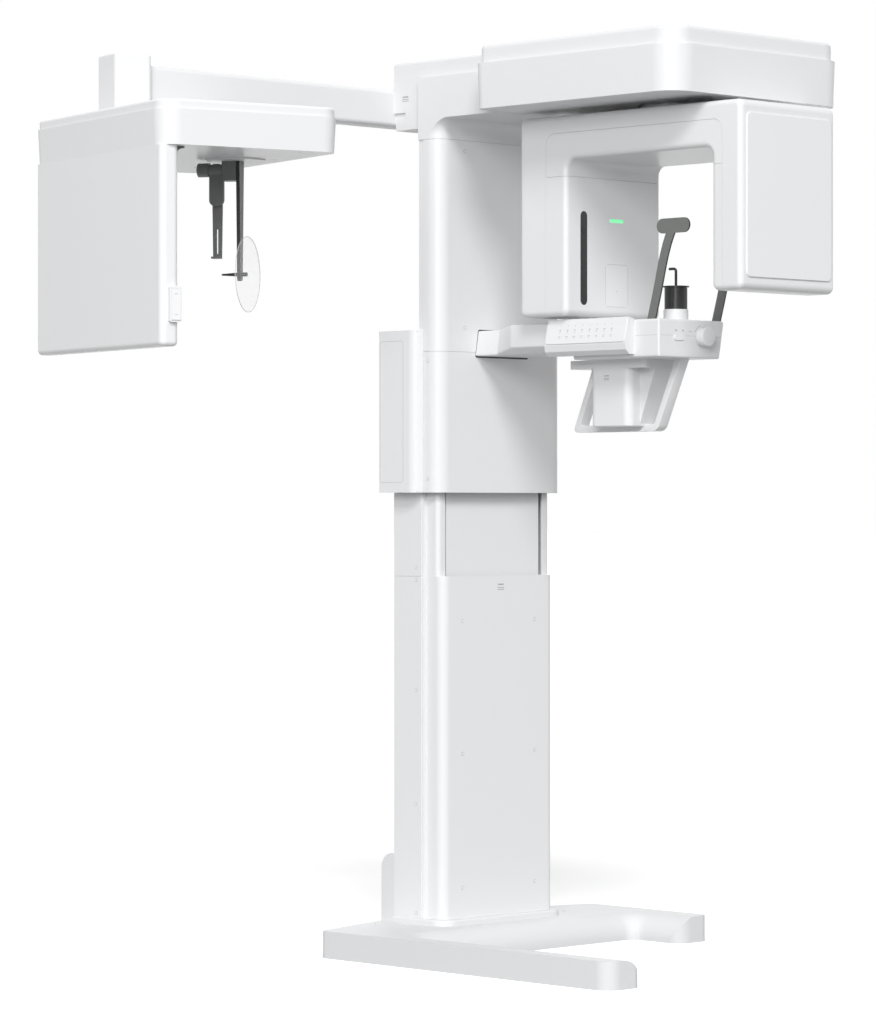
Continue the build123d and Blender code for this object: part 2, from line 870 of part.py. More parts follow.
# Turning bearing, between the floor of the shell and the beam
with BuildPart() as turn_bearing:
    with BuildSketch(Plane.XY.offset(neck_bottom + shell_wall)):
        with Locations((0, gantry_axis_y)):
            Circle(bearing_outer)
            Circle(spindle_radius, mode=Mode.SUBTRACT)
    extrude(amount=mast_top - neck_bottom - shell_wall)
finish(turn_bearing, "turn_bearing")


def gantry_body(inset):
    # The C-shaped body, or the hollow inside it when inset by the wall
    with BuildPart() as body:
        with BuildSketch(Plane.YZ) as side_view:
            with BuildLine():
                Polyline(
                    (gantry_rear - inset, source_bottom + inset),
                    (gantry_rear - inset, gantry_top - inset),
                    (gantry_front + inset, gantry_top - inset),
                    (gantry_front + inset, detector_bottom + inset),
                    (detector_face - inset, detector_bottom + inset),
                    (detector_face - inset, beam_bottom + inset),
                    (source_face + inset, beam_bottom + inset),
                    (source_face + inset, source_bottom + inset),
                    close=True,
                )
            make_face()
            inner = side_view.vertices().filter_by_position(
                Axis.Y, beam_bottom + inset - running_gap, beam_bottom + inset + running_gap
            )
            fillet(inner, gantry_inner_corner + inset)
            fillet(side_view.vertices().group_by(Axis.Y)[-1], gantry_corner - inset)
            feet = side_view.vertices().filter_by_position(
                Axis.Y, source_bottom, detector_bottom + inset + running_gap
            )
            fillet(feet, gantry_foot_corner - inset)
        extrude(amount=gantry_half - inset, both=True)
        cheeks = body.faces().group_by(Axis.X)
        fillet(cheeks[0].edges() + cheeks[-1].edges(), gantry_edge - inset)
    return body.part


def inner_region(gap):
    # The area inside the C-shaped split line
    with BuildSketch() as region:
        with BuildLine():
            Polyline(
                (split_rear - gap, source_bottom - overrun),
                (split_rear - gap, gantry_top - split_drop - gap),
                (split_front + gap, gantry_top - split_drop - gap),
                (split_front + gap, source_bottom - overrun),
                close=True,
            )
        make_face()
        fillet(region.vertices().group_by(Axis.Y)[-1], split_corner - gap)
    return region.sketch


gantry_solid = gantry_body(0)
gantry_hollow = gantry_body(gantry_wall)

# Outer band of the gantry, from the source round the top to the detector
with BuildPart() as gantry_band:
    add(gantry_solid)
    add(gantry_hollow, mode=Mode.SUBTRACT)
    with BuildSketch(Plane.YZ):
        add(inner_region(0))
    extrude(amount=gantry_half + overrun, both=True, mode=Mode.SUBTRACT)
    with BuildSketch(Plane.XY.offset(gantry_top - gantry_wall)):
        with Locations((0, gantry_axis_y)):
            Circle(spindle_radius + running_gap)
    extrude(amount=gantry_wall + running_gap, mode=Mode.SUBTRACT)
finish(gantry_band, "gantry_band")

# Inner covers of the gantry: the beam, the source and the detector
mid_y = (source_face + detector_face) / 2
inner_levels = {
    "gantry_beam_cover": (split_front - overrun, split_rear + overrun, split_level + seam_gap, gantry_top),
    "detector_cover": (split_front - overrun, mid_y, source_bottom - overrun, split_level),
    "source_cover": (mid_y, split_rear + overrun, source_bottom - overrun, split_level),
}
for label, (front, back, low, high) in inner_levels.items():
    with BuildPart() as inner_cover:
        add(gantry_solid)
        add(gantry_hollow, mode=Mode.SUBTRACT)
        with BuildSketch(Plane.YZ):
            add(inner_region(seam_gap))
        extrude(amount=gantry_half + overrun, both=True, mode=Mode.INTERSECT)
        with BuildSketch(Plane.YZ):
            with Locations(((front + back) / 2, (low + high) / 2)):
                Rectangle(back - front, high - low)
        extrude(amount=gantry_half + overrun, both=True, mode=Mode.INTERSECT)
        if label == "source_cover":
            with BuildSketch(Plane.XZ.offset(-source_face)):
                with Locations((slit_x, source_bottom + slit_low + slit_height / 2)):
                    SlotOverall(slit_height, slit_width, rotation=90)
            extrude(amount=-gantry_wall, mode=Mode.SUBTRACT)
            with BuildSketch(Plane.XZ.offset(-source_face)):
                with Locations((beam_plate_x, source_bottom + beam_plate_low + beam_plate_height / 2)):
                    RectangleRounded(beam_plate_width, beam_plate_height, beam_plate_corner)
                with Locations((light_x, source_bottom + light_low)):
                    SlotOverall(light_length, light_width)
            extrude(amount=-beam_plate_sheet, mode=Mode.SUBTRACT)
    finish(inner_cover, label)

# Black slit, beam window and status light in the face of the source
with BuildPart() as slit_window:
    with BuildSketch(Plane.XZ.offset(-source_face - gantry_wall + window_sheet)):
        with Locations((slit_x, source_bottom + slit_low + slit_height / 2)):
            SlotOverall(slit_height - running_gap, slit_width - running_gap, rotation=90)
    extrude(amount=-window_sheet)
finish(slit_window, "slit_window")

with BuildPart() as beam_window_plate:
    with BuildSketch(Plane.XZ.offset(-source_face)):
        with Locations((beam_plate_x, source_bottom + beam_plate_low + beam_plate_height / 2)):
            RectangleRounded(
                beam_plate_width - seam_gap, beam_plate_height - seam_gap, beam_plate_corner - seam_gap / 2
            )
    extrude(amount=-beam_plate_sheet)
finish(beam_window_plate, "beam_window_plate")

with BuildPart() as status_light:
    with BuildSketch(Plane.XZ.offset(-source_face)):
        with Locations((light_x, source_bottom + light_low)):
            SlotOverall(light_length - running_gap, light_width - running_gap)
    extrude(amount=-beam_plate_sheet)
finish(status_light, "status_light")

# Plate on the front of the detector arm
with BuildPart() as detector_front_plate:
    with BuildSketch(Plane.XZ.offset(-gantry_front)):
        add(
            plate_plan(
                -front_plate_half,
                front_plate_half,
                detector_bottom + front_plate_low,
                gantry_top - front_plate_high,
                front_plate_corner,
            )
        )
    extrude(amount=front_plate_sheet)
    fillet(detector_front_plate.faces().sort_by(Axis.Y)[0].edges(), front_plate_sheet / 2)
finish(detector_front_plate, "detector_front_plate")

# Steel frame inside the gantry
frame_top = gantry_top - gantry_wall - frame_clear
frame_rear = gantry_rear - gantry_wall - frame_clear
frame_fore = gantry_front + gantry_wall + frame_clear
with BuildPart() as gantry_frame:
    with BuildSketch(Plane.YZ) as frame_view:
        with BuildLine():
            Polyline(
                (frame_rear, source_bottom + frame_foot),
                (frame_rear, frame_top),
                (frame_fore, frame_top),
                (frame_fore, detector_bottom + frame_foot),
                (frame_fore + frame_leg, detector_bottom + frame_foot),
                (frame_fore + frame_leg, frame_top - frame_bar),
                (frame_rear - frame_leg, frame_top - frame_bar),
                (frame_rear - frame_leg, source_bottom + frame_foot),
                close=True,
            )
        make_face()
        fillet(frame_view.vertices().group_by(Axis.Y)[-1], gantry_corner - gantry_wall - frame_clear)
    extrude(amount=frame_half, both=True)
    with BuildSketch(Plane.XY.offset(frame_top)):
        with Locations((0, gantry_axis_y)):
            Circle(spindle_radius - pin_gap)
            Circle(spindle_bore, mode=Mode.SUBTRACT)
    extrude(amount=mast_top - frame_top - frame_clear)
finish(gantry_frame, "gantry_frame")

# X-ray tube head with its collimator on the rear leg, flat panel on the front leg
collimator_back = frame_rear - frame_leg - tube_head_depth
collimator_length = collimator_back - source_face - gantry_wall - running_gap
with BuildPart() as tube_head:
    with BuildSketch(Plane.XY.offset(source_bottom + frame_foot)):
        with Locations((0, frame_rear - frame_leg - tube_head_depth / 2)):
            RectangleRounded(2 * tube_head_half, tube_head_depth, tube_head_corner)
    extrude(amount=tube_head_height)
    with BuildSketch(Plane.XZ.offset(-collimator_back)):
        with Locations((0, source_bottom + frame_foot + collimator_height / 2)):
            Rectangle(2 * collimator_half, collimator_height)
    extrude(amount=collimator_length)
finish(tube_head, "tube_head")

with BuildPart() as flat_panel:
    with BuildSketch(Plane.XZ.offset(-frame_fore - frame_leg)):
        with Locations((0, detector_bottom + frame_foot + panel_height / 2)):
            Rectangle(2 * panel_half, panel_height)
    extrude(amount=-panel_depth)
finish(flat_panel, "flat_panel")


def console_section(plane_y):
    # Cross-section of the support arm and the console, narrower below
    with BuildSketch(Plane.XZ.offset(-plane_y)) as section:
        with BuildLine():
            Polyline(
                (arm_left, arm_top),
                (arm_right, arm_top),
                (arm_right - arm_lean, arm_bottom),
                (arm_left, arm_bottom),
                close=True,
            )
        make_face()
        fillet(section.vertices(), arm_edge)
    return section.sketch


# Support arm, waisted where it leaves the pans
flare_start = pan_front - arm_root_length
flare_end = flare_start - arm_flare
with BuildPart() as support_arm:
    extrude(console_section(pan_front), amount=pan_front - console_back)
    with BuildSketch(Plane.XY.offset(arm_bottom)):
        with BuildLine():
            Polyline(
                (-arm_root_half, pan_front),
                (arm_root_half, pan_front),
                (arm_root_half, flare_start),
                (arm_right, flare_end),
                (arm_right, console_back),
                (arm_left, console_back),
                (arm_left, flare_end),
                (-arm_root_half, flare_start),
                close=True,
            )
        make_face()
    extrude(amount=arm_height, mode=Mode.INTERSECT)
finish(support_arm, "support_arm")

# Console body with a slot and a pin hole for each temple support, and a collar for the chin rest
temple_level = arm_bottom + temple_rise
slot_front = console_split + temple_wall
slot_back = temple_y + slot_back_clear
pin_back = slot_back + temple_pin_grip
with BuildPart() as console_body:
    extrude(console_section(console_back), amount=console_back - console_split)
    with BuildSketch(Plane.XY.offset(arm_top)):
        for sign in (-1, 1):
            with Locations((sign * (slot_inner + slot_outer) / 2, (slot_front + slot_back) / 2)):
                Rectangle(slot_outer - slot_inner, slot_back - slot_front)
    extrude(amount=-slot_drop, mode=Mode.SUBTRACT)
    with BuildSketch(Plane.XZ.offset(-pin_back)):
        for sign in (-1, 1):
            with Locations((sign * temple_hinge_x, temple_level)):
                Circle(temple_pin + pin_gap)
    extrude(amount=pin_back - console_split, mode=Mode.SUBTRACT)
    with BuildSketch(Plane.XY.offset(arm_top)):
        with Locations((0, chin_y)):
            Circle(chin_base_radius)
    extrude(amount=chin_base_height)
finish(console_body, "console_body")

# Console front with the seats of the button and the knob
with BuildPart() as console_front_cap:
    extrude(console_section(console_split), amount=console_split - console_front)
    fillet(console_front_cap.faces().sort_by(Axis.Y)[0].edges(), console_edge)
    with BuildSketch(Plane.XZ.offset(-console_front)):
        with Locations((button_x, arm_bottom + button_rise)):
            SlotOverall(button_length + 2 * running_gap, button_width + 2 * running_gap)
    extrude(amount=-button_pocket, mode=Mode.SUBTRACT)
    with BuildSketch(Plane.XZ.offset(-console_front)):
        with Locations((knob_x, arm_bottom + knob_rise)):
            Circle(knob_shaft + pin_gap)
    extrude(amount=-knob_shaft_length - running_gap, mode=Mode.SUBTRACT)
finish(console_front_cap, "console_front_cap")

# Keypad pod, a wedge with a steep face on the left of the console
pod_left = arm_left - pod_width
pod_top_left = arm_left - pod_shoulder
pod_face_low = arm_bottom + pod_brow
pod_face_high = arm_top + pod_crown
with BuildPart() as keypad_pod:
    with BuildSketch(Plane.XZ.offset(-pod_back)):
        with BuildLine():
            Polyline(
                (arm_left, arm_bottom + pod_low),
                (pod_top_left, arm_bottom + pod_low),
                (pod_left + pod_chamfer, arm_bottom + pod_chin),
                (pod_left, pod_face_low),
                (pod_top_left, pod_face_high),
                (arm_left, arm_top + pod_crest),
                close=True,
            )
        make_face()
    extrude(amount=pod_back - pod_front)
finish(keypad_pod, "keypad_pod")

# Keypad panel on the steep face of the pod
pod_run = pod_top_left - pod_left
pod_climb = pod_face_high - pod_face_low
pod_slope = math.hypot(pod_run, pod_climb)
pod_tilt = Plane(
    origin=(pod_left + pod_run / 2, (pod_back + pod_front) / 2, pod_face_low + pod_climb / 2),
    x_dir=(0, -1, 0),
    z_dir=(-pod_climb, 0, pod_run),
)
with BuildPart() as keypad_panel:
    with BuildSketch(pod_tilt):
        RectangleRounded(
            pod_back - pod_front - 2 * keypad_margin, pod_slope - 2 * keypad_margin, keypad_corner
        )
    extrude(amount=keypad_sheet)
    fillet(keypad_panel.faces().sort_by(Axis.X)[0].edges(), keypad_sheet / 3)
finish(keypad_panel, "keypad_panel")

# Push button and the knob that opens the temple supports
with BuildPart() as console_button:
    with BuildSketch(Plane.XZ.offset(-console_front + button_proud)):
        with Locations((button_x, arm_bottom + button_rise)):
            SlotOverall(button_length, button_width)
    extrude(amount=-button_depth)
    fillet(console_button.faces().sort_by(Axis.Y)[0].edges(), button_proud / 2)
finish(console_button, "console_button")

with BuildPart() as temple_knob:
    with BuildSketch(Plane.XZ.offset(-console_front + running_gap)):
        with Locations((knob_x, arm_bottom + knob_rise)):
            Circle(knob_radius)
    extrude(amount=knob_proud)
    fillet(temple_knob.faces().sort_by(Axis.Y)[0].edges(), knob_edge)
    with BuildSketch(Plane.XZ.offset(-console_front + running_gap)):
        with Locations((knob_x, arm_bottom + knob_rise)):
            Circle(knob_shaft)
    extrude(amount=-knob_shaft_length)
finish(temple_knob, "temple_knob")

# Temple supports: a leaning strip with a paddle at its top and a barrel and pin at its foot
foot_outer = temple_x + temple_sheet / 2
for side, sign in (("left", -1), ("right", 1)):
    with BuildPart() as temple_support:
        with BuildSketch(Plane.YZ.offset(sign * temple_x - temple_sheet / 2)):
            with BuildLine():
                Spline(
                    *[
                        (temple_y - lean * temple_lean, temple_level + rise * temple_height)
                        for lean, rise in temple_path_shares
                    ]
                )
            trace(line_width=temple_width)
            with Locations(Location((temple_y - temple_lean, temple_level + temple_height))):
                SlotOverall(paddle_length, paddle_height)
        extrude(amount=temple_sheet)
        with BuildSketch(Plane.XZ.offset(-temple_y - temple_width / 2)):
            with Locations((sign * (temple_hinge_x + foot_outer) / 2, temple_level)):
                Rectangle(foot_outer - temple_hinge_x, temple_foot)
            with Locations((sign * temple_hinge_x, temple_level)):
                Circle(temple_barrel)
        extrude(amount=temple_width)
        with BuildSketch(Plane.XZ.offset(-pin_back + running_gap)):
            with Locations((sign * temple_hinge_x, temple_level)):
                Circle(temple_pin)
        extrude(amount=pin_back - console_split - 2 * running_gap)
    finish(temple_support, f"temple_support_{side}")

# Chin rest: a cup with a flange and a bent bite rod
cup_bottom = arm_top + chin_base_height
cup_top = cup_bottom + chin_cup_height
bite_foot = cup_top - chin_cup_height / 3
bite_turn = 2 * bite_rod_radius
bite_top = cup_top + bite_rod_height
with BuildPart() as chin_cup:
    with BuildSketch(Plane.XZ.offset(-chin_y)):
        with BuildLine():
            Polyline(
                (0, cup_bottom),
                (chin_cup_radius, cup_bottom),
                (chin_cup_radius, cup_top - chin_flange),
                (chin_flange_radius, cup_top - chin_flange),
                (chin_flange_radius, cup_top),
                (chin_bore, cup_top),
                (chin_bore, bite_foot),
                (0, bite_foot),
                close=True,
            )
        make_face()
    revolve(axis=Axis((0, chin_y, 0), (0, 0, 1)))
    with BuildLine(Plane.YZ) as bite_path:
        Line((chin_y, bite_foot), (chin_y, bite_top - bite_turn))
        TangentArc((chin_y, bite_top - bite_turn), (chin_y + bite_turn, bite_top), tangent=(0, 1))
        Line((chin_y + bite_turn, bite_top), (chin_y + bite_rod_reach, bite_top))
    with BuildSketch(Plane.XY.offset(bite_foot)):
        with Locations((0, chin_y)):
            Circle(bite_rod_radius)
    sweep(path=bite_path.wire())
finish(chin_cup, "chin_cup")

# Tray under the console
with BuildPart() as under_tray:
    with BuildSketch(Plane.XY.offset(tray_bottom)):
        add(plate_plan(-tray_half, tray_half, tray_front, tray_back, tray_corner))
    extrude(amount=tray_height)
finish(under_tray, "under_tray")

# Hand grip, a leaning loop of flat bar that hangs from the tray and the console
def leaned(y, level, lean):
    # A point of the grip, moved forward in step with its height
    return (y - lean * (level - grip_bottom) / grip_drop, level)


bar_level = grip_bottom + grip_bar
with BuildPart() as hand_grip:
    with BuildSketch(Plane.YZ) as grip_view:
        with BuildLine():
            Polyline(
                leaned(grip_front, arm_bottom, grip_front_lean),
                leaned(grip_front, grip_bottom, grip_front_lean),
                leaned(grip_back, grip_bottom, grip_lean),
                leaned(grip_back, tray_bottom, grip_lean),
                leaned(grip_back - grip_bar, tray_bottom, grip_lean),
                leaned(grip_back - grip_bar, bar_level, grip_lean),
                leaned(grip_front + grip_bar, bar_level, grip_front_lean),
                leaned(grip_front + grip_bar, arm_bottom, grip_front_lean),
                close=True,
            )
        make_face()
        fillet(grip_view.vertices().group_by(Axis.Y)[0], grip_corner)
    extrude(amount=grip_half, both=True)
finish(hand_grip, "hand_grip")

# Handle housing, seated on the grip's lower bar, with a leaning web at its front
with BuildPart() as handle_housing:
    with BuildSketch(Plane.XY.offset(bar_level)):
        add(plate_plan(-housing_half, housing_half, housing_front, housing_back, housing_corner))
    extrude(amount=tray_bottom - bar_level)
    fillet(handle_housing.faces().sort_by(Axis.Z)[0].edges(), housing_edge)
    with BuildSketch(Plane.YZ.offset(web_left)):
        with BuildLine():
            Polyline(
                (housing_front + housing_corner, tray_bottom),
                (housing_front - web_reach, tray_bottom),
                (housing_front, tray_bottom - web_drop),
                (housing_front + housing_corner, tray_bottom - web_drop),
                close=True,
            )
        make_face()
    extrude(amount=web_right - web_left)
finish(handle_housing, "handle_housing")

# Cephalometric head. Its own plane starts at the near left corner of the cap
ceph_turn = math.radians(ceph_yaw_deg)
ceph_plane = Plane(
    origin=(ceph_corner_x, ceph_corner_y, 0),
    x_dir=(math.cos(ceph_turn), math.sin(ceph_turn), 0),
    z_dir=(0, 0, 1),
)
post_right = post_u + post_width / 2
arm_end_plane = Plane(
    origin=ceph_plane.from_local_coords((post_right, post_v, 0)),
    x_dir=ceph_plane.y_dir,
    z_dir=ceph_plane.x_dir,
)

with BuildPart() as ceph_arm:
    with BuildSketch(Plane.YZ.offset(ceph_arm_right)):
        with Locations((head_back + ceph_arm_depth / 2, ceph_arm_bottom + ceph_arm_height / 2)):
            RectangleRounded(ceph_arm_depth, ceph_arm_height, ceph_arm_corner)
            RectangleRounded(
                ceph_arm_depth - 2 * ceph_arm_wall,
                ceph_arm_height - 2 * ceph_arm_wall,
                ceph_arm_corner - ceph_arm_wall,
                mode=Mode.SUBTRACT,
            )
    extrude(amount=ceph_corner_x)
    split(bisect_by=arm_end_plane, keep=Keep.TOP)
finish(ceph_arm, "ceph_arm")

with BuildPart() as ceph_post:
    with BuildSketch(ceph_plane.offset(ceph_top)):
        with Locations((post_u, post_v)):
            RectangleRounded(post_width, post_depth, post_corner)
    extrude(amount=post_top - ceph_top)
    fillet(ceph_post.faces().sort_by(Axis.Z)[-1].edges(), post_edge)
    with BuildSketch(ceph_plane.offset(ceph_top)):
        with Locations((post_u, post_v)):
            RectangleRounded(post_width - 2 * post_wall, post_depth - 2 * post_wall, post_corner - post_wall)
    extrude(amount=post_top - ceph_top - post_wall, mode=Mode.SUBTRACT)
finish(ceph_post, "ceph_post")


def ceph_plan(lip):
    # Outline of the cephalometric head, grown by lip
    return plate_plan(-lip, ceph_width + lip, -lip, ceph_depth + lip, ceph_corner + lip)


cap_bottom = ceph_bottom + ceph_shell_height
table_centre = (table_u, table_v)
with BuildPart() as ceph_shell:
    with BuildSketch(ceph_plane.offset(cap_bottom)):
        add(ceph_plan(ceph_shell_lip))
    extrude(amount=-ceph_shell_height, taper=ceph_shell_draft_deg)
    with BuildSketch(ceph_plane.offset(cap_bottom)):
        add(ceph_plan(ceph_shell_lip - ceph_wall))
    extrude(amount=ceph_wall - ceph_shell_height, taper=ceph_shell_draft_deg, mode=Mode.SUBTRACT)
    with BuildSketch(ceph_plane.offset(ceph_bottom)):
        with Locations(table_centre):
            Circle(table_radius + running_gap)
    extrude(amount=ceph_wall, mode=Mode.SUBTRACT)
finish(ceph_shell, "ceph_shell")

with BuildPart() as ceph_cap:
    with BuildSketch(ceph_plane.offset(cap_bottom)):
        add(ceph_plan(0))
    extrude(amount=ceph_cap_height)
    fillet(ceph_cap.faces().sort_by(Axis.Z)[-1].edges(), ceph_cap_edge)
    with BuildSketch(ceph_plane.offset(cap_bottom)):
        add(ceph_plan(-2 * ceph_wall))
    extrude(amount=ceph_cap_height - 2 * ceph_wall, mode=Mode.SUBTRACT)
finish(ceph_cap, "ceph_cap")

# Sensor housing that hangs from the head, with the box of its up and down switch
sensor_left = ceph_shell_height * math.tan(math.radians(ceph_shell_draft_deg)) - ceph_shell_lip
switch_seat = switch_width - 2 * switch_wall
switch_plane = Plane(
    origin=ceph_plane.from_local_coords((sensor_left + switch_u + switch_width / 2, sensor_margin, switch_bottom)),
    x_dir=ceph_plane.x_dir,
    z_dir=-ceph_plane.y_dir,
)
with BuildPart() as sensor_housing:
    with BuildSketch(ceph_plane.offset(sensor_bottom)):
        add(
            plate_plan(
                sensor_left,
                sensor_left + sensor_depth,
                sensor_margin,
                ceph_depth - sensor_margin,
                sensor_corner,
            )
        )
    extrude(amount=ceph_bottom - sensor_bottom)
    fillet(sensor_housing.faces().sort_by(Axis.Z)[0].edges(), sensor_corner - sensor_wall)
    with BuildSketch(ceph_plane.offset(sensor_bottom + sensor_corner)):
        add(
            plate_plan(
                sensor_left + sensor_wall,
                sensor_left + sensor_depth - sensor_wall,
                sensor_margin + sensor_wall,
                ceph_depth - sensor_margin - sensor_wall,
                sensor_corner - sensor_wall,
            )
        )
    extrude(amount=ceph_bottom - sensor_bottom - sensor_corner, mode=Mode.SUBTRACT)
    with BuildSketch(switch_plane.offset(-sensor_wall)):
        with Locations((0, switch_height / 2)):
            RectangleRounded(switch_width, switch_height, switch_wall)
    extrude(amount=switch_depth + sensor_wall)
    with BuildSketch(switch_plane.offset(switch_depth)):
        with Locations((0, switch_height / 2)):
            Rectangle(switch_seat, switch_height - 2 * switch_wall)
    extrude(amount=-rocker_depth, mode=Mode.SUBTRACT)
finish(sensor_housing, "sensor_housing")

# Coved bracket between the head and the sensor housing
sensor_face = sensor_left + sensor_depth
cove_bracket_plane = Plane(
    origin=ceph_plane.from_local_coords((sensor_face, cove_bracket_v, ceph_bottom)),
    x_dir=ceph_plane.x_dir,
    z_dir=-ceph_plane.y_dir,
)
with BuildPart() as cove_bracket:
    with BuildSketch(cove_bracket_plane):
        with Locations((cove_bracket_size / 2, -cove_bracket_size / 2)):
            Rectangle(cove_bracket_size, cove_bracket_size)
        with Locations((cove_bracket_size, -cove_bracket_size)):
            Circle(cove_bracket_size - ceph_wall, mode=Mode.SUBTRACT)
    extrude(amount=-cove_bracket_length)
finish(cove_bracket, "cove_bracket")

# Rocker of the up and down switch, a thin key on a rib
rocker_length = switch_height - 2 * switch_wall - 2 * seam_gap
with BuildPart() as switch_rocker:
    with BuildSketch(switch_plane.offset(switch_depth - rocker_proud)):
        with Locations((0, switch_height / 2)):
            Rectangle(switch_seat - 2 * running_gap, rocker_length)
    extrude(amount=2 * rocker_proud)
    with BuildSketch(switch_plane.offset(switch_depth - rocker_depth + rocker_clear)):
        with Locations((0, switch_height / 2)):
            Rectangle(switch_seat - 2 * running_gap, rocker_length / 8)
    extrude(amount=rocker_depth - rocker_clear)
finish(switch_rocker, "switch_rocker")

# Turntable under the head, with the holder and pivot of the nose support
table_turn = math.radians(table_yaw_deg)
table_plane = Plane(
    origin=ceph_plane.from_local_coords((table_u, table_v, 0)),
    x_dir=(math.cos(table_turn), math.sin(table_turn), 0),
    z_dir=(0, 0, 1),
)
table_bottom = ceph_bottom - table_drop
pivot_level = table_bottom - pivot_drop
nose_right = holder_left - running_gap
nose_left = nose_right - nose_plate_width
pivot_left = nose_left - nose_knob_length / 2
with BuildPart() as ear_turntable:
    with BuildSketch(table_plane.offset(table_bottom)):
        Circle(table_radius)
    extrude(amount=table_drop + ceph_wall + running_gap)
    with BuildSketch(table_plane.offset(ceph_bottom + ceph_wall + running_gap)):
        Circle(table_flange)
    extrude(amount=table_flange_height)
finish(ear_turntable, "ear_turntable")

pivot_plane = Plane(
    origin=table_plane.from_local_coords((holder_left, 0, pivot_level)),
    x_dir=table_plane.y_dir,
    z_dir=-table_plane.x_dir,
)
with BuildPart() as ear_holder:
    with BuildSketch(table_plane.offset(table_bottom - holder_height)):
        with Locations(((holder_left + holder_right) / 2, 0)):
            Rectangle(holder_right - holder_left, 2 * holder_half)
    extrude(amount=holder_height)
    with BuildSketch(pivot_plane):
        Circle(pivot_radius)
    extrude(amount=holder_left - pivot_left)
finish(ear_holder, "ear_holder")

# Nose support: a plate with a knob on the pivot, and a slotted arm clamped to the plate
nose_plane = Plane(
    origin=table_plane.from_local_coords(((nose_left + nose_right) / 2, 0, pivot_level)),
    x_dir=table_plane.x_dir,
    z_dir=-table_plane.y_dir,
)
nose_plate_length = nose_plate_drop + nose_plate_top
with BuildPart() as nose_plate:
    with BuildSketch(nose_plane.offset(-nose_plate_sheet / 2)):
        with Locations((0, nose_plate_top - nose_plate_length / 2)):
            RectangleRounded(nose_plate_width, nose_plate_length, nose_plate_top)
    extrude(amount=nose_plate_sheet)
    with BuildSketch(pivot_plane):
        Circle(pivot_radius + nose_plate_sheet)
    extrude(amount=holder_left - nose_left)
    with BuildSketch(pivot_plane.offset(holder_left - nose_left)):
        Circle(nose_knob_radius)
    extrude(amount=nose_knob_length)
    with BuildSketch(pivot_plane):
        Circle(pivot_radius + nose_plate_sheet)
    extrude(amount=running_gap, mode=Mode.SUBTRACT)
    with BuildSketch(pivot_plane):
        Circle(pivot_radius + pin_gap)
    extrude(amount=holder_left - nose_left + nose_knob_length / 2 + running_gap, mode=Mode.SUBTRACT)
finish(nose_plate, "nose_plate")

nose_arm_high = -nose_arm_top
nose_arm_low = nose_arm_high - nose_arm_length
with BuildPart() as nose_arm:
    with BuildSketch(nose_plane.offset(-nose_plate_sheet / 2 - running_gap)):
        with BuildLine():
            Polyline(
                (-nose_arm_width / 2, nose_arm_high),
                (nose_arm_width / 2, nose_arm_high),
                (nose_arm_tip / 2, nose_arm_low),
                (-nose_arm_tip / 2, nose_arm_low),
                close=True,
            )
        make_face()
        with Locations((0, nose_arm_low + nose_slot_rise)):
            SlotOverall(nose_slot_length, nose_slot_width, rotation=90, mode=Mode.SUBTRACT)
    extrude(amount=-nose_arm_sheet)
    with BuildSketch(nose_plane.offset(-nose_plate_sheet / 2 - running_gap)):
        with Locations((0, nose_arm_low + nose_foot_height / 2)):
            Rectangle(nose_arm_tip, nose_foot_height)
    extrude(amount=nose_foot)
finish(nose_arm, "nose_arm")

# Ear rod: a tapered blade beside the holder, with a plug towards the head and a clear disc
blade_left = holder_right + running_gap
blade_plane = Plane(
    origin=table_plane.from_local_coords((blade_left, 0, table_bottom - running_gap)),
    x_dir=table_plane.y_dir,
    z_dir=table_plane.x_dir,
)
plug_drop = -ear_length + 2 * ear_tip_half
plug_plane = Plane(
    origin=blade_plane.from_local_coords((0, plug_drop, 0)),
    x_dir=blade_plane.x_dir,
    z_dir=blade_plane.z_dir,
)
with BuildPart() as ear_rod:
    with BuildSketch(blade_plane) as blade:
        with BuildLine():
            Polyline(
                (-ear_top_half, 0),
                (ear_top_half, 0),
                (ear_tip_half, -ear_length),
                (-ear_tip_half, -ear_length),
                close=True,
            )
        make_face()
        fillet(blade.vertices().group_by(Axis.Y)[0], ear_tip_half * 0.9)
    extrude(amount=ear_sheet)
    with BuildSketch(plug_plane):
        Circle(ear_plug_radius)
    extrude(amount=-ear_plug_reach, taper=4)
    with BuildSketch(plug_plane):
        Circle(ear_plug_radius)
    extrude(amount=ear_sheet + ear_stub_reach)
finish(ear_rod, "ear_rod")

with BuildPart() as clear_disc:
    with BuildSketch(plug_plane.offset(ear_sheet + ear_stub_reach)):
        Circle(disc_radius)
    extrude(amount=disc_sheet)
finish(clear_disc, "clear_disc")
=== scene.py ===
import json
import math

import bpy
from mathutils import Matrix, Vector


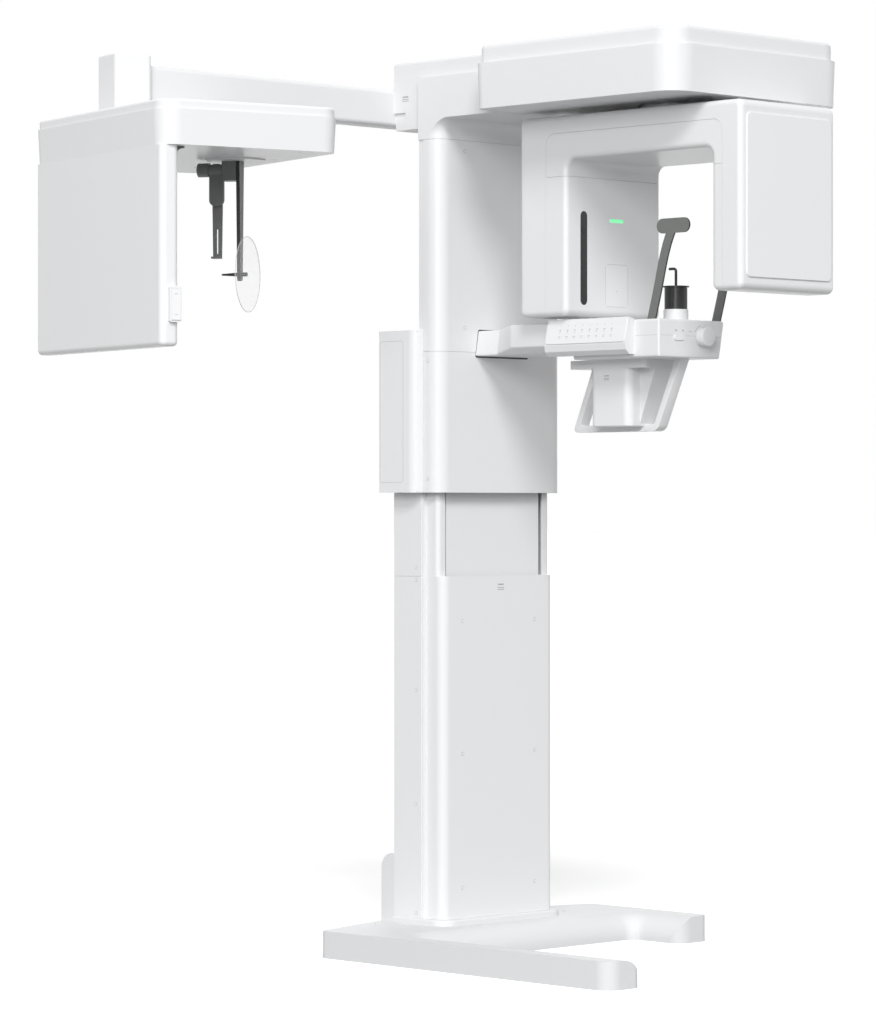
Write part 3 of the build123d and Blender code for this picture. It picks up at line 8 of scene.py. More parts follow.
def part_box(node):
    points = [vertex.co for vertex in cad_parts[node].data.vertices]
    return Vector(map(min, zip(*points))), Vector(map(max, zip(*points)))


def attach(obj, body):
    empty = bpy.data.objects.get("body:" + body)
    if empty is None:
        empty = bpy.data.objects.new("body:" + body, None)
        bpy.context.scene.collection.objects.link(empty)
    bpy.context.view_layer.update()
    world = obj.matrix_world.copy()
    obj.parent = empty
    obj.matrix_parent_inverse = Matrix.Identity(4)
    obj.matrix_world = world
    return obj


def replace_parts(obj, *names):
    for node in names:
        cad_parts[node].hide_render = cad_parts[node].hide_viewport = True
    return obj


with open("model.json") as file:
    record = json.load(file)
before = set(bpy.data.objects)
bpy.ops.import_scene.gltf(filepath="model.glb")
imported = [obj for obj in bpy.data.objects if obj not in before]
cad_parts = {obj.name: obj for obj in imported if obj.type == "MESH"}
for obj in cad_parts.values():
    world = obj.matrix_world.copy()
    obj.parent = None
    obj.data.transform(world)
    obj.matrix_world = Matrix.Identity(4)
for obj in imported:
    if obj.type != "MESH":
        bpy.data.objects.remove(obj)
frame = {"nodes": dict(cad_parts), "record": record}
nodes = frame["nodes"]
slotOf = {row["node"]: row["material_slot"] for row in frame["record"]["subparts"]}
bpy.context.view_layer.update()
print("stage: frame loaded")


# Faint grain that the painted and moulded surfaces share: it varies their gloss and their relief
grain = {"scale": 420.0, "detail": 3.0, "height": 0.0004}
skin = bpy.data.node_groups.new("satinSkin", "ShaderNodeTree")
for name in ("Roughness", "Grain", "Relief"):
    skin.interface.new_socket(name=name, in_out="INPUT", socket_type="NodeSocketFloat")
skin.interface.new_socket(name="Roughness", in_out="OUTPUT", socket_type="NodeSocketFloat")
skin.interface.new_socket(name="Normal", in_out="OUTPUT", socket_type="NodeSocketVector")
skinIn = skin.nodes.new("NodeGroupInput")
skinOut = skin.nodes.new("NodeGroupOutput")
skinPlace = skin.nodes.new("ShaderNodeTexCoord")
skinNoise = skin.nodes.new("ShaderNodeTexNoise")
skinNoise.inputs["Scale"].default_value = grain["scale"]
skinNoise.inputs["Detail"].default_value = grain["detail"]
skinSpread = skin.nodes.new("ShaderNodeMath")
skinSpread.operation = "MULTIPLY_ADD"
skinBump = skin.nodes.new("ShaderNodeBump")
skinBump.inputs["Distance"].default_value = grain["height"]
skin.links.new(skinPlace.outputs["Object"], skinNoise.inputs["Vector"])
skin.links.new(skinNoise.outputs["Fac"], skinSpread.inputs[0])
skin.links.new(skinIn.outputs["Grain"], skinSpread.inputs[1])
skin.links.new(skinIn.outputs["Roughness"], skinSpread.inputs[2])
skin.links.new(skinNoise.outputs["Fac"], skinBump.inputs["Height"])
skin.links.new(skinIn.outputs["Relief"], skinBump.inputs["Strength"])
skin.links.new(skinSpread.outputs["Value"], skinOut.inputs["Roughness"])
skin.links.new(skinBump.outputs["Normal"], skinOut.inputs["Normal"])


def coat(name, values):
    made = bpy.data.materials.new(name)
    made.use_nodes = True
    tree = made.node_tree
    shader = tree.nodes["Principled BSDF"]
    shader.inputs["Base Color"].default_value = (*values["colour"], 1.0)
    shader.inputs["Roughness"].default_value = values["rough"]
    shader.inputs["Metallic"].default_value = values["metal"]
    if values["grain"]:
        use = tree.nodes.new("ShaderNodeGroup")
        use.node_tree = skin
        use.inputs["Roughness"].default_value = values["rough"]
        use.inputs["Grain"].default_value = values["grain"]
        use.inputs["Relief"].default_value = values["relief"]
        tree.links.new(use.outputs["Roughness"], shader.inputs["Roughness"])
        if values["relief"]:
            tree.links.new(use.outputs["Normal"], shader.inputs["Normal"])
    return made


coats = {
    "cover_white": {
        "colour": (0.755, 0.76, 0.768), "rough": 0.3, "metal": 0.0, "grain": 0.06, "relief": 0.05,
    },
    "panel_white": {
        "colour": (0.79, 0.795, 0.803), "rough": 0.22, "metal": 0.0, "grain": 0.04, "relief": 0.02,
    },
    "column_paint": {
        "colour": (0.75, 0.755, 0.763), "rough": 0.38, "metal": 0.0, "grain": 0.08, "relief": 0.09,
    },
    "base_paint": {
        "colour": (0.7, 0.705, 0.713), "rough": 0.62, "metal": 0.0, "grain": 0.08, "relief": 0.09,
    },
    "frame_metal": {
        "colour": (0.46, 0.47, 0.48), "rough": 0.4, "metal": 0.9, "grain": 0.1, "relief": 0.05,
    },
    "steel": {
        "colour": (0.42, 0.42, 0.44), "rough": 0.3, "metal": 1.0, "grain": 0.1, "relief": 0.04,
    },
    "grey_plastic": {
        "colour": (0.15, 0.155, 0.15), "rough": 0.42, "metal": 0.0, "grain": 0.1, "relief": 0.1,
    },
    "black_plastic": {
        "colour": (0.012, 0.012, 0.013), "rough": 0.28, "metal": 0.0, "grain": 0.06, "relief": 0.04,
    },
    "lens_black": {
        "colour": (0.004, 0.004, 0.006), "rough": 0.08, "metal": 0.0, "grain": 0.0, "relief": 0.0,
    },
    # Grey painted as shade in seams and as the reflection on the clear disc's rim
    "seam_shade_and_rim_reflection_grey": {
        "colour": (0.45, 0.46, 0.47), "rough": 0.5, "metal": 0.0, "grain": 0.05, "relief": 0.0,
    },
    "mark_grey": {
        "colour": (0.36, 0.37, 0.38), "rough": 0.5, "metal": 0.0, "grain": 0.05, "relief": 0.0,
    },
}
paints = {name: coat(name, values) for name, values in coats.items()}

clearPlastic = {"colour": (0.97, 0.975, 0.975), "rough": 0.03, "bend": 1.3, "alpha": 0.12}
clear = bpy.data.materials.new("clear_plastic")
clear.use_nodes = True
clearShader = clear.node_tree.nodes["Principled BSDF"]
clearShader.inputs["Base Color"].default_value = (*clearPlastic["colour"], 1.0)
clearShader.inputs["Roughness"].default_value = clearPlastic["rough"]
clearShader.inputs["IOR"].default_value = clearPlastic["bend"]
clearShader.inputs["Alpha"].default_value = clearPlastic["alpha"]
paints["clear_plastic"] = clear

statusGreen = {"colour": (0.2, 0.85, 0.4), "rough": 0.3, "glow": (0.25, 0.95, 0.45), "strength": 0.5}
lit = bpy.data.materials.new("light_green")
lit.use_nodes = True
litShader = lit.node_tree.nodes["Principled BSDF"]
litShader.inputs["Base Color"].default_value = (*statusGreen["colour"], 1.0)
litShader.inputs["Roughness"].default_value = statusGreen["rough"]
litShader.inputs["Emission Color"].default_value = (*statusGreen["glow"], 1.0)
litShader.inputs["Emission Strength"].default_value = statusGreen["strength"]
paints["light_green"] = lit

# Sheet pieces whose cut edges are painted black as shade: the way each sheet faces, and how squarely its
# grey faces do so
sheets = {
    "squareness": 0.6,
    "facing": {
        "temple_support_left": (1.0, 0.0, 0.0),
        "temple_support_right": (1.0, 0.0, 0.0),
        "ear_rod": (0.48481, -0.87462, 0.0),
    },
}


def edgeShadeCoat(name, facing, values):
    made = coat(name, values)
    tree = made.node_tree
    place = tree.nodes.new("ShaderNodeTexCoord")
    towards = tree.nodes.new("ShaderNodeVectorMath")
    towards.operation = "DOT_PRODUCT"
    towards.inputs[1].default_value = facing
    size = tree.nodes.new("ShaderNodeMath")
    size.operation = "ABSOLUTE"
    pick = tree.nodes.new("ShaderNodeMath")
    pick.operation = "GREATER_THAN"
    pick.inputs[1].default_value = sheets["squareness"]
    # Faces turned away from the sheet's way get black painted shade; the faces along it keep their grey
    edgeShadeMix = tree.nodes.new("ShaderNodeMix")
    edgeShadeMix.data_type = "RGBA"
    edgeShadeMix.inputs["A"].default_value = (*coats["black_plastic"]["colour"], 1.0)
    edgeShadeMix.inputs["B"].default_value = (*values["colour"], 1.0)
    tree.links.new(place.outputs["Normal"], towards.inputs[0])
    tree.links.new(towards.outputs["Value"], size.inputs[0])
    tree.links.new(size.outputs["Value"], pick.inputs[0])
    tree.links.new(pick.outputs["Value"], edgeShadeMix.inputs["Factor"])
    tree.links.new(edgeShadeMix.outputs["Result"], tree.nodes["Principled BSDF"].inputs["Base Color"])
    return made


for name, node in nodes.items():
    node.data.materials.clear()
    if name in sheets["facing"]:
        node.data.materials.append(edgeShadeCoat(name + "EdgeShade", sheets["facing"][name], coats["grey_plastic"]))
    else:
        node.data.materials.append(paints[slotOf[name]])
print("stage: materials")


def settle(name, body, paint):
    # Finishes the active piece: its place goes into its mesh, then its paint and its body
    made = bpy.context.view_layer.objects.active
    bpy.ops.object.transform_apply(location=True, rotation=True, scale=True)
    made.name = name
    made.data.name = name
    made.data.materials.clear()
    made.data.materials.append(paint)
    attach(made, body)
    return made


def gather(parts):
    bpy.ops.object.select_all(action="DESELECT")
    for part in parts:
        part.select_set(True)
    bpy.context.view_layer.objects.active = parts[0]
    bpy.ops.object.join()
    bpy.ops.object.transform_apply(location=True, rotation=True, scale=True)
    return bpy.context.view_layer.objects.active


def copies(made, places):
    # Joined copies of one modelled shape, each with its own mesh, in place of the shape itself
    parts = []
    for place in places:
        part = made.copy()
        part.data = made.data.copy()
        bpy.context.collection.objects.link(part)
        part.matrix_world = place
        parts.append(part)
    bpy.data.objects.remove(made)
    return gather(parts)


def put(made, place):
    made.matrix_world = place
    return made


def faceFrame(place, facing):
    # A place on a surface, with the third axis pointing away from it
    return Matrix.Translation(Vector(place)) @ Vector(facing).to_track_quat("Z", "Y").to_matrix().to_4x4()


def lineFrame(place, across, up):
    # A place with its first axis across and its second axis up
    first = Vector(across).normalized()
    second = Vector(up).normalized()
    turn = Matrix((first, second, first.cross(second))).transposed().to_4x4()
    return Matrix.Translation(Vector(place)) @ turn


def facedOut():
    # Leaves edit mode with all faces of the piece pointing outwards
    bpy.ops.mesh.select_all(action="SELECT")
    bpy.ops.mesh.normals_make_consistent(inside=False)
    bpy.ops.object.mode_set(mode="OBJECT")


def raised(depth):
    # Extrudes the flat shape that was just added
    bpy.ops.object.transform_apply(location=True, rotation=True, scale=True)
    bpy.ops.object.mode_set(mode="EDIT")
    bpy.ops.mesh.select_all(action="SELECT")
    bpy.ops.mesh.extrude_region_move(TRANSFORM_OT_translate={"value": (0, 0, depth)})
    facedOut()
    return bpy.context.view_layer.objects.active


def disc(radius, depth, sides):
    bpy.ops.object.select_all(action="DESELECT")
    bpy.ops.mesh.primitive_circle_add(vertices=sides, radius=radius, fill_type="NGON")
    return raised(depth)


def bar(length, width, thick):
    bpy.ops.object.select_all(action="DESELECT")
    bpy.ops.mesh.primitive_plane_add(size=1.0, location=(0, 0, -thick / 2))
    bpy.context.view_layer.objects.active.scale = (length, width, 1.0)
    return raised(thick)


hoops = {"sides": 6, "steps": 96, "merge": 0.00005}


def hoop(radius, wire):
    # A wire's section, stood upright with a corner outwards and spun once round
    bpy.ops.object.select_all(action="DESELECT")
    bpy.ops.mesh.primitive_circle_add(
        vertices=hoops["sides"],
        radius=wire,
        location=(radius, 0, 0),
        rotation=(math.radians(90), math.radians(180 / hoops["sides"]), 0),
    )
    bpy.ops.object.transform_apply(location=True, rotation=True, scale=True)
    bpy.ops.object.mode_set(mode="EDIT")
    bpy.ops.mesh.select_all(action="SELECT")
    bpy.ops.mesh.spin(steps=hoops["steps"], angle=math.radians(360), center=(0, 0, 0), axis=(0, 0, 1))
    bpy.ops.mesh.select_all(action="SELECT")
    bpy.ops.mesh.remove_doubles(threshold=hoops["merge"])
    facedOut()
    return bpy.context.view_layer.objects.active


def reach(name, direction):
    # How far a piece's surface goes in one direction
    node = nodes[name]
    way = Vector(direction).normalized()
    return max((node.matrix_world @ vertex.co).dot(way) for vertex in node.data.vertices)


# Screw plugs of the column and of the carriage pans, each a head on a thin dark ring
plugs = {
    "head": 0.0042,
    "ring": 0.005,
    "proud": 0.0007,
    "ringProud": 0.0002,
    "sides": 24,
    "frontX": 0.135,
    "frontLevels": (0.165, 0.514, 0.861),
    "sideY": -0.021,
    "sideLevels": (0.1, 0.384, 0.681, 0.968, 1.0007),
    "panX": 0.137,
    "panLevels": (1.626, 2.086),
    "panSideY": -0.0755,
    "panSideLevels": (1.232, 1.5375),
}
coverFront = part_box("lower_front_cover")[0].y
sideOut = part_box("column_side_covers")[1].x
panLow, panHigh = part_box("carriage_pan_upper")
columnSpots = []
panSpots = []
for side in (-1, 1):
    for level in plugs["frontLevels"]:
        columnSpots.append(faceFrame((side * plugs["frontX"], coverFront, level), (0, -1, 0)))
    for level in plugs["sideLevels"]:
        columnSpots.append(faceFrame((side * sideOut, plugs["sideY"], level), (side, 0, 0)))
    for level in plugs["panLevels"]:
        panSpots.append(faceFrame((side * plugs["panX"], panLow.y, level), (0, -1, 0)))
    for level in plugs["panSideLevels"]:
        panSpots.append(faceFrame((side * panHigh.x, plugs["panSideY"], level), (side, 0, 0)))
for name, body, spots, slot in (
    ("column", "stand", columnSpots, "column_paint"),
    ("pan", "carriage", panSpots, "cover_white"),
):
    copies(disc(plugs["head"], plugs["proud"], plugs["sides"]), spots)
    settle(name + "Plugs", body, paints[slot])
    copies(disc(plugs["ring"], plugs["ringProud"], plugs["sides"]), spots)
    settle(name + "PlugRings", body, paints["mark_grey"])
print("stage: screws")

# Keypad marks on the tilted panel: a dot and four lines for each key, each line by rise, length and height
keypad = {
    "columns": 8,
    "pitch": 0.0255,
    "lift": 0.0002,
    "tilt": (0.2216, 0.0, 0.9752),
    "middle": -0.57,
    "out": 0.00125,
    "dot": 0.0011,
    "dotSides": 16,
    "dotRise": 0.017,
    "lines": (
        (0.005, 0.0075, 0.0012),
        (0.0005, 0.0012, 0.0075),
        (-0.012, 0.009, 0.001),
        (-0.0155, 0.006, 0.001),
    ),
}
padLow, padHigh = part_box("keypad_panel")
padUp = Vector(keypad["tilt"]).normalized()
padOut = Vector((-padUp.z, 0.0, padUp.x))
padMiddle = Vector(((padLow.x + padHigh.x) / 2, keypad["middle"], (padLow.z + padHigh.z) / 2))
padMiddle += padOut * keypad["out"]
dot = disc(keypad["dot"], keypad["lift"], keypad["dotSides"])
keyMarks = [put(dot, Matrix.Translation((0, keypad["dotRise"], 0)))]
for rise, length, height in keypad["lines"]:
    keyMarks.append(put(bar(length, height, keypad["lift"]), Matrix.Translation((0, rise, 0))))
keySpots = []
for column in range(keypad["columns"]):
    shift = keypad["pitch"] * (column - (keypad["columns"] - 1) / 2)
    keySpots.append(lineFrame(padMiddle - Vector((0, shift, 0)), (0, -1, 0), padUp))
copies(gather(keyMarks), keySpots)
settle("keypadMarks", "carriage", paints["mark_grey"])
print("stage: keypad")

# Painted shade of the seam line of the console front, broken at the button and at the knob, and on along
# its left side
console = {
    "seamLevel": 1.587,
    "seam": 0.0008,
    "lift": 0.0002,
    "podFront": -0.712,
    "leftCorner": 0.008,
    "rightCorner": 0.012,
    "gap": 0.004,
    "markLevel": 1.6,
}
capLow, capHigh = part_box("console_front_cap")
knobLow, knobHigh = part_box("temple_knob")
buttonLow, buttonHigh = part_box("console_button")
knobX = (knobLow.x + knobHigh.x) / 2
knobZ = (knobLow.z + knobHigh.z) / 2
knobRadius = (knobHigh.x - knobLow.x) / 2
consoleThick = 2 * console["lift"]
lines = []
for left, right in (
    (capLow.x + console["leftCorner"], buttonLow.x - console["gap"]),
    (buttonHigh.x + console["gap"], knobX - knobRadius - console["gap"]),
    (knobX + knobRadius + console["gap"], capHigh.x - console["rightCorner"]),
):
    middle = ((left + right) / 2, capLow.y, console["seamLevel"])
    frontLine = bar(right - left, console["seam"], consoleThick)
    lines.append(put(frontLine, lineFrame(middle, (1, 0, 0), (0, 0, 1))))
seamFront = capLow.y + console["leftCorner"]
seamMiddle = (capLow.x, (seamFront + console["podFront"]) / 2, console["seamLevel"])
sideLine = bar(console["podFront"] - seamFront, console["seam"], consoleThick)
lines.append(put(sideLine, lineFrame(seamMiddle, (0, 1, 0), (0, 0, 1))))
gather(lines)
settle("consoleSeamShade", "carriage", paints["seam_shade_and_rim_reflection_grey"])

# Marks of the console front: an arc round the knob, its pointer, and a dot with a stem beside the button
dial = {
    "radius": 0.0285,
    "start": 100.0,
    "end": 155.0,
    "steps": 9,
    "overlap": 1.1,
    "width": 0.0012,
    "pointer": 0.01,
    "pointerOut": 0.015,
    "pointerDrop": 0.002,
    "dot": 0.0022,
    "dotSides": 16,
    "stemWide": 0.001,
    "stemTall": 0.005,
    "stemOut": 0.004,
    "besideButton": (-0.012, 0.013),
}
dialStep = math.radians(dial["end"] - dial["start"]) / (dial["steps"] - 1)
arcSpots = []
for step in range(dial["steps"]):
    angle = math.radians(dial["start"]) + dialStep * step
    outward = Vector((math.cos(angle), 0, math.sin(angle)))
    spot = Vector((knobX, capLow.y, knobZ)) + outward * dial["radius"]
    arcSpots.append(lineFrame(spot, (-math.sin(angle), 0, math.cos(angle)), outward))
chord = bar(dialStep * dial["radius"] * dial["overlap"], dial["width"], consoleThick)
arc = copies(chord, arcSpots)
pointerPlace = (
    knobX - dial["radius"] - dial["pointerOut"],
    capLow.y,
    console["markLevel"] - dial["pointerDrop"],
)
pointer = bar(dial["pointer"], dial["width"], consoleThick)
put(pointer, lineFrame(pointerPlace, (1, 0, 0), (0, 0, 1)))
dot = disc(dial["dot"], console["lift"], dial["dotSides"])
stem = bar(dial["stemWide"], dial["stemTall"], consoleThick)
put(stem, Matrix.Translation((dial["stemOut"], 0, 0)))
buttonX = (buttonLow.x + buttonHigh.x) / 2
signSpots = []
for offset in dial["besideButton"]:
    signPlace = (buttonX + offset, capLow.y, console["markLevel"])
    signSpots.append(lineFrame(signPlace, (1, 0, 0), (0, 0, 1)))
gather([arc, pointer, copies(gather([dot, stem]), signSpots)])
settle("consoleMarks", "carriage", paints["mark_grey"])

# Plain label lines of the covers, each with its level, width and height
labels = {
    "thick": 0.0004,
    "places": {
        "front": {
            "node": "lower_front_cover",
            "body": "stand",
            "slot": "column_paint",
            "facesFront": True,
            "at": 0.0064,
            "lines": ((0.955, 0.021, 0.0036), (0.9466, 0.0235, 0.0018), (0.9418, 0.0235, 0.0018)),
        },
        "head": {
            "node": "head_cap",
            "body": "carriage",
            "slot": "cover_white",
            "facesFront": False,
            "at": 0.019,
            "lines": ((2.231, 0.021, 0.0036), (2.225, 0.024, 0.0018), (2.2205, 0.024, 0.0018)),
        },
        "housing": {
            "node": "handle_housing",
            "body": "carriage",
            "slot": "cover_white",
            "facesFront": False,
            "at": -0.563,
            "lines": ((1.491, 0.017, 0.0024), (1.485, 0.017, 0.0016), (1.481, 0.017, 0.0016)),
        },
    },
}
for name, values in labels["places"].items():
    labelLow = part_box(values["node"])[0]
    lines = []
    for level, width, height in values["lines"]:
        if values["facesFront"]:
            place = lineFrame((values["at"], labelLow.y, level), (1, 0, 0), (0, 0, 1))
        else:
            place = lineFrame((labelLow.x, values["at"], level), (0, -1, 0), (0, 0, 1))
        lines.append(put(bar(width, height, labels["thick"]), place))
    gather(lines)
    settle(name + "Lines", values["body"], paints["mark_grey"])

# Lens behind the slit
lens = {"x": -0.112, "z": 1.86, "radius": 0.008, "lift": 0.0006, "sides": 32}
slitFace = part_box("slit_window")[0].y
slitLens = disc(lens["radius"], lens["lift"], lens["sides"])
put(slitLens, faceFrame((lens["x"], slitFace, lens["z"]), (0, -1, 0)))
settle("slitLens", "gantry", paints["lens_black"])

# Centre dot of the beam window, and the rim line round it, painted as the shade of its seam
beam = {
    "dot": 0.0013,
    "dotSides": 16,
    "dotLift": 0.0002,
    "dotShare": 0.37,
    "rim": 0.0009,
    "rimThick": 0.0003,
    "corners": 0.012,
}
plateLow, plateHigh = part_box("beam_window_plate")
plateMiddle = (plateLow + plateHigh) / 2
plateSize = plateHigh - plateLow
beamDot = disc(beam["dot"], beam["dotLift"], beam["dotSides"])
dotPlace = (plateMiddle.x, plateLow.y, plateLow.z + plateSize.z * beam["dotShare"])
put(beamDot, faceFrame(dotPlace, (0, -1, 0)))
settle("beamDot", "gantry", paints["mark_grey"])
# Rim line round the plate: painted shade of the seam
lines = []
for level in (plateLow.z, plateHigh.z):
    spot = (plateMiddle.x, plateLow.y, level)
    rimShadeLine = bar(plateSize.x - beam["corners"], beam["rim"], beam["rimThick"])
    lines.append(put(rimShadeLine, lineFrame(spot, (1, 0, 0), (0, 0, 1))))
for side in (plateLow.x, plateHigh.x):
    spot = (side, plateLow.y, plateMiddle.z)
    rimShadeLine = bar(beam["rim"], plateSize.z - beam["corners"], beam["rimThick"])
    lines.append(put(rimShadeLine, lineFrame(spot, (1, 0, 0), (0, 0, 1))))
gather(lines)
settle("beamSeamShade", "gantry", paints["seam_shade_and_rim_reflection_grey"])

# Up and down signs of the rocker, each of two leaning strokes
rocker = {
    "across": (0.97383, -0.22726, 0.0),
    "out": (-0.22726, -0.97383, 0.0),
    "rise": 0.024,
    "apart": 0.0023,
    "slope": 32.0,
    "stroke": (0.0055, 0.001, 0.0004),
}
rockerAcross = Vector(rocker["across"])
rockerOut = Vector(rocker["out"])
rockerUp = Vector((0, 0, 1))
rockerLow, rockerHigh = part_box("switch_rocker")
rockerMiddle = (rockerLow + rockerHigh) / 2
rockerMiddle += rockerOut * (reach("switch_rocker", rockerOut) - rockerMiddle.dot(rockerOut))
strokeSpots = []
for way in (-1, 1):
    for side in (-1, 1):
        lean = math.radians(rocker["slope"]) * -side * way
        across = rockerAcross * math.cos(lean) + rockerUp * math.sin(lean)
        over = rockerUp * math.cos(lean) - rockerAcross * math.sin(lean)
        spot = rockerMiddle + rockerAcross * side * rocker["apart"] + rockerUp * way * rocker["rise"]
        strokeSpots.append(lineFrame(spot, across, over))
copies(bar(*rocker["stroke"]), strokeSpots)
settle("rockerSigns", "rocker", paints["mark_grey"])

# Grey ring painted round the clear disc as the reflection on its polished rim
discRimReflection = {"normal": (0.48481, -0.87462, 0.0), "radius": 0.0915, "wire": 0.0006}
discLow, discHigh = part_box("clear_disc")
rimReflectionRing = hoop(discRimReflection["radius"], discRimReflection["wire"])
put(rimReflectionRing, faceFrame((discLow + discHigh) / 2, discRimReflection["normal"]))
settle("discRimReflection", "ear", paints["seam_shade_and_rim_reflection_grey"])

# Index line, ring and screws under the cephalometric shell
under = {
    "centre": (-1.03191, -0.22451),
    "ring": 0.0725,
    "wire": 0.0005,
    "inner": 0.08,
    "outer": 0.098,
    "way": (0.69, -0.724, 0),
    "lineWidth": 0.0014,
    "lineThick": 0.0004,
    "screw": 0.0035,
    "screwLift": 0.0003,
    "screwSides": 20,
    "screws": ((-1.0595, -0.4855), (-0.9555, 0.0135)),
}
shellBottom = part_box("ceph_shell")[0].z
underCentre = Vector((*under["centre"], shellBottom))
turnRing = put(hoop(under["ring"], under["wire"]), Matrix.Translation(underCentre))
indexWay = Vector(under["way"]).normalized()
indexPlace = underCentre + indexWay * (under["inner"] + under["outer"]) / 2
indexUp = Vector((0, 0, 1)).cross(indexWay)
indexLine = bar(under["outer"] - under["inner"], under["lineWidth"], under["lineThick"])
put(indexLine, lineFrame(indexPlace, indexWay, indexUp))
screwSpots = [faceFrame((*spot, shellBottom), (0, 0, -1)) for spot in under["screws"]]
underScrews = copies(disc(under["screw"], under["screwLift"], under["screwSides"]), screwSpots)
gather([turnRing, indexLine, underScrews])
settle("cephUnderMarks", "carriage", paints["mark_grey"])
print("stage: small marks")


def choose(made, kind, test):
    # Enters edit mode with only the wanted points, edges or faces selected
    bpy.ops.object.mode_set(mode="EDIT")
    bpy.ops.mesh.select_mode(type=kind)
    bpy.ops.mesh.select_all(action="DESELECT")
    bpy.ops.object.mode_set(mode="OBJECT")
    items = {"VERT": made.data.vertices, "EDGE": made.data.edges, "FACE": made.data.polygons}[kind]
    for item in items:
        item.select = test(item)
    bpy.ops.object.mode_set(mode="EDIT")


def ends(made, edge):
    return [made.data.vertices[index].co for index in edge.vertices]


def block(low, high):
    bpy.ops.object.select_all(action="DESELECT")
    middle = [(a + b) / 2 for a, b in zip(low, high)]
    size = [b - a for a, b in zip(low, high)]
    bpy.ops.mesh.primitive_cube_add(size=1.0, location=middle, scale=size)
    bpy.ops.object.transform_apply(location=True, rotation=True, scale=True)
    return bpy.context.view_layer.objects.active


shading = {"sharp": math.radians(20), "smooth": math.radians(40)}


def soften(made, width, segments):
    # Rounds the sharp edges and shades the rest smooth
    bpy.ops.object.mode_set(mode="OBJECT")
    rounding = made.modifiers.new("edges", "BEVEL")
    rounding.width = width
    rounding.segments = segments
    rounding.limit_method = "ANGLE"
    rounding.angle_limit = shading["sharp"]
    bpy.ops.object.modifier_apply(modifier=rounding.name)
    bpy.ops.object.shade_smooth_by_angle(angle=shading["smooth"])


# Support arm: a root that is wider below, a flare and the arm with its chamfered underside
arm = {
    "rootFront": -0.195,
    "flareEnd": -0.275,
    "overlap": 0.005,
    "low": 1.553,
    "shoulder": 1.56,
    "rootTop": 1.619,
    "rootHalf": 0.098,
    "rootTopHalf": 0.087,
    "half": 0.1298,
    "right": 0.1145,
    "armShoulder": 1.569,
    "sink": 0.0002,
    "edge": 0.004,
    "edgeSteps": 3,
    "facing": 0.9,
}
armLow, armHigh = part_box("support_arm")
armTop = armHigh.z - arm["sink"]
shoulderShare = (arm["shoulder"] - arm["low"]) / (arm["rootTop"] - arm["low"])
shoulderHalf = arm["rootHalf"] - (arm["rootHalf"] - arm["rootTopHalf"]) * shoulderShare
armBody = block(
    (-arm["rootHalf"], arm["rootFront"], arm["low"]),
    (arm["rootHalf"], armHigh.y + arm["overlap"], arm["rootTop"]),
)
choose(armBody, "VERT", lambda point: point.co.z > arm["shoulder"])
bpy.ops.transform.resize(value=(arm["rootTopHalf"] / arm["rootHalf"], 1, 1), center_override=(0, 0, 0))
bpy.ops.mesh.select_all(action="SELECT")
bpy.ops.mesh.bisect(plane_co=(0, 0, arm["shoulder"]), plane_no=(0, 0, 1))
choose(armBody, "FACE", lambda face: face.normal.y < -arm["facing"])
flareReach = arm["flareEnd"] - arm["rootFront"]
bpy.ops.mesh.extrude_region_move(TRANSFORM_OT_translate={"value": (0, flareReach, 0)})
flared = arm["rootFront"] - arm["sink"]
choose(armBody, "VERT", lambda point: point.co.y < flared and point.co.z > arm["armShoulder"])
bpy.ops.transform.resize(value=(arm["half"] / arm["rootTopHalf"], 1, 1), center_override=(0, 0, 0))
bpy.ops.transform.translate(value=(0, 0, armTop - arm["rootTop"]))
choose(
    armBody,
    "VERT",
    lambda point: point.co.y < flared and abs(point.co.z - arm["shoulder"]) < arm["sink"],
)
bpy.ops.transform.resize(value=(arm["half"] / shoulderHalf, 1, 1), center_override=(0, 0, 0))
bpy.ops.transform.translate(value=(0, 0, arm["armShoulder"] - arm["shoulder"]))
choose(armBody, "VERT", lambda point: point.co.y < flared and point.co.x > arm["rootHalf"] + arm["sink"])
bpy.ops.transform.translate(value=(arm["right"] - arm["half"], 0, 0))
choose(armBody, "FACE", lambda face: face.normal.y < -arm["facing"])
armReach = armLow.y - arm["overlap"] - arm["flareEnd"]
bpy.ops.mesh.extrude_region_move(TRANSFORM_OT_translate={"value": (0, armReach, 0)})
soften(armBody, arm["edge"], arm["edgeSteps"])
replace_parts(settle("armBody", "carriage", paints["cover_white"]), "support_arm")

# Dark opening that the arm's root passes through
opening = {
    "side": 0.0015,
    "below": 0.004,
    "above": 0.0035,
    "proud": 0.0002,
    "corner": 0.006,
    "cornerSteps": 4,
}
armOpening = block(
    (-arm["rootHalf"] - opening["side"], armHigh.y - opening["proud"], arm["low"] - opening["below"]),
    (arm["rootHalf"] + opening["side"], armHigh.y + opening["proud"], arm["rootTop"] + opening["above"]),
)
choose(armOpening, "VERT", lambda point: point.co.z > arm["shoulder"])
bpy.ops.transform.resize(value=(arm["rootTopHalf"] / arm["rootHalf"], 1, 1), center_override=(0, 0, 0))


def isOpeningCorner(edge):
    first, second = ends(armOpening, edge)
    return abs(first.y - second.y) > opening["proud"]


choose(armOpening, "EDGE", isOpeningCorner)
bpy.ops.mesh.bevel(offset=opening["corner"], segments=opening["cornerSteps"], affect="EDGES")
bpy.ops.object.mode_set(mode="OBJECT")
settle("armOpening", "carriage", paints["black_plastic"])

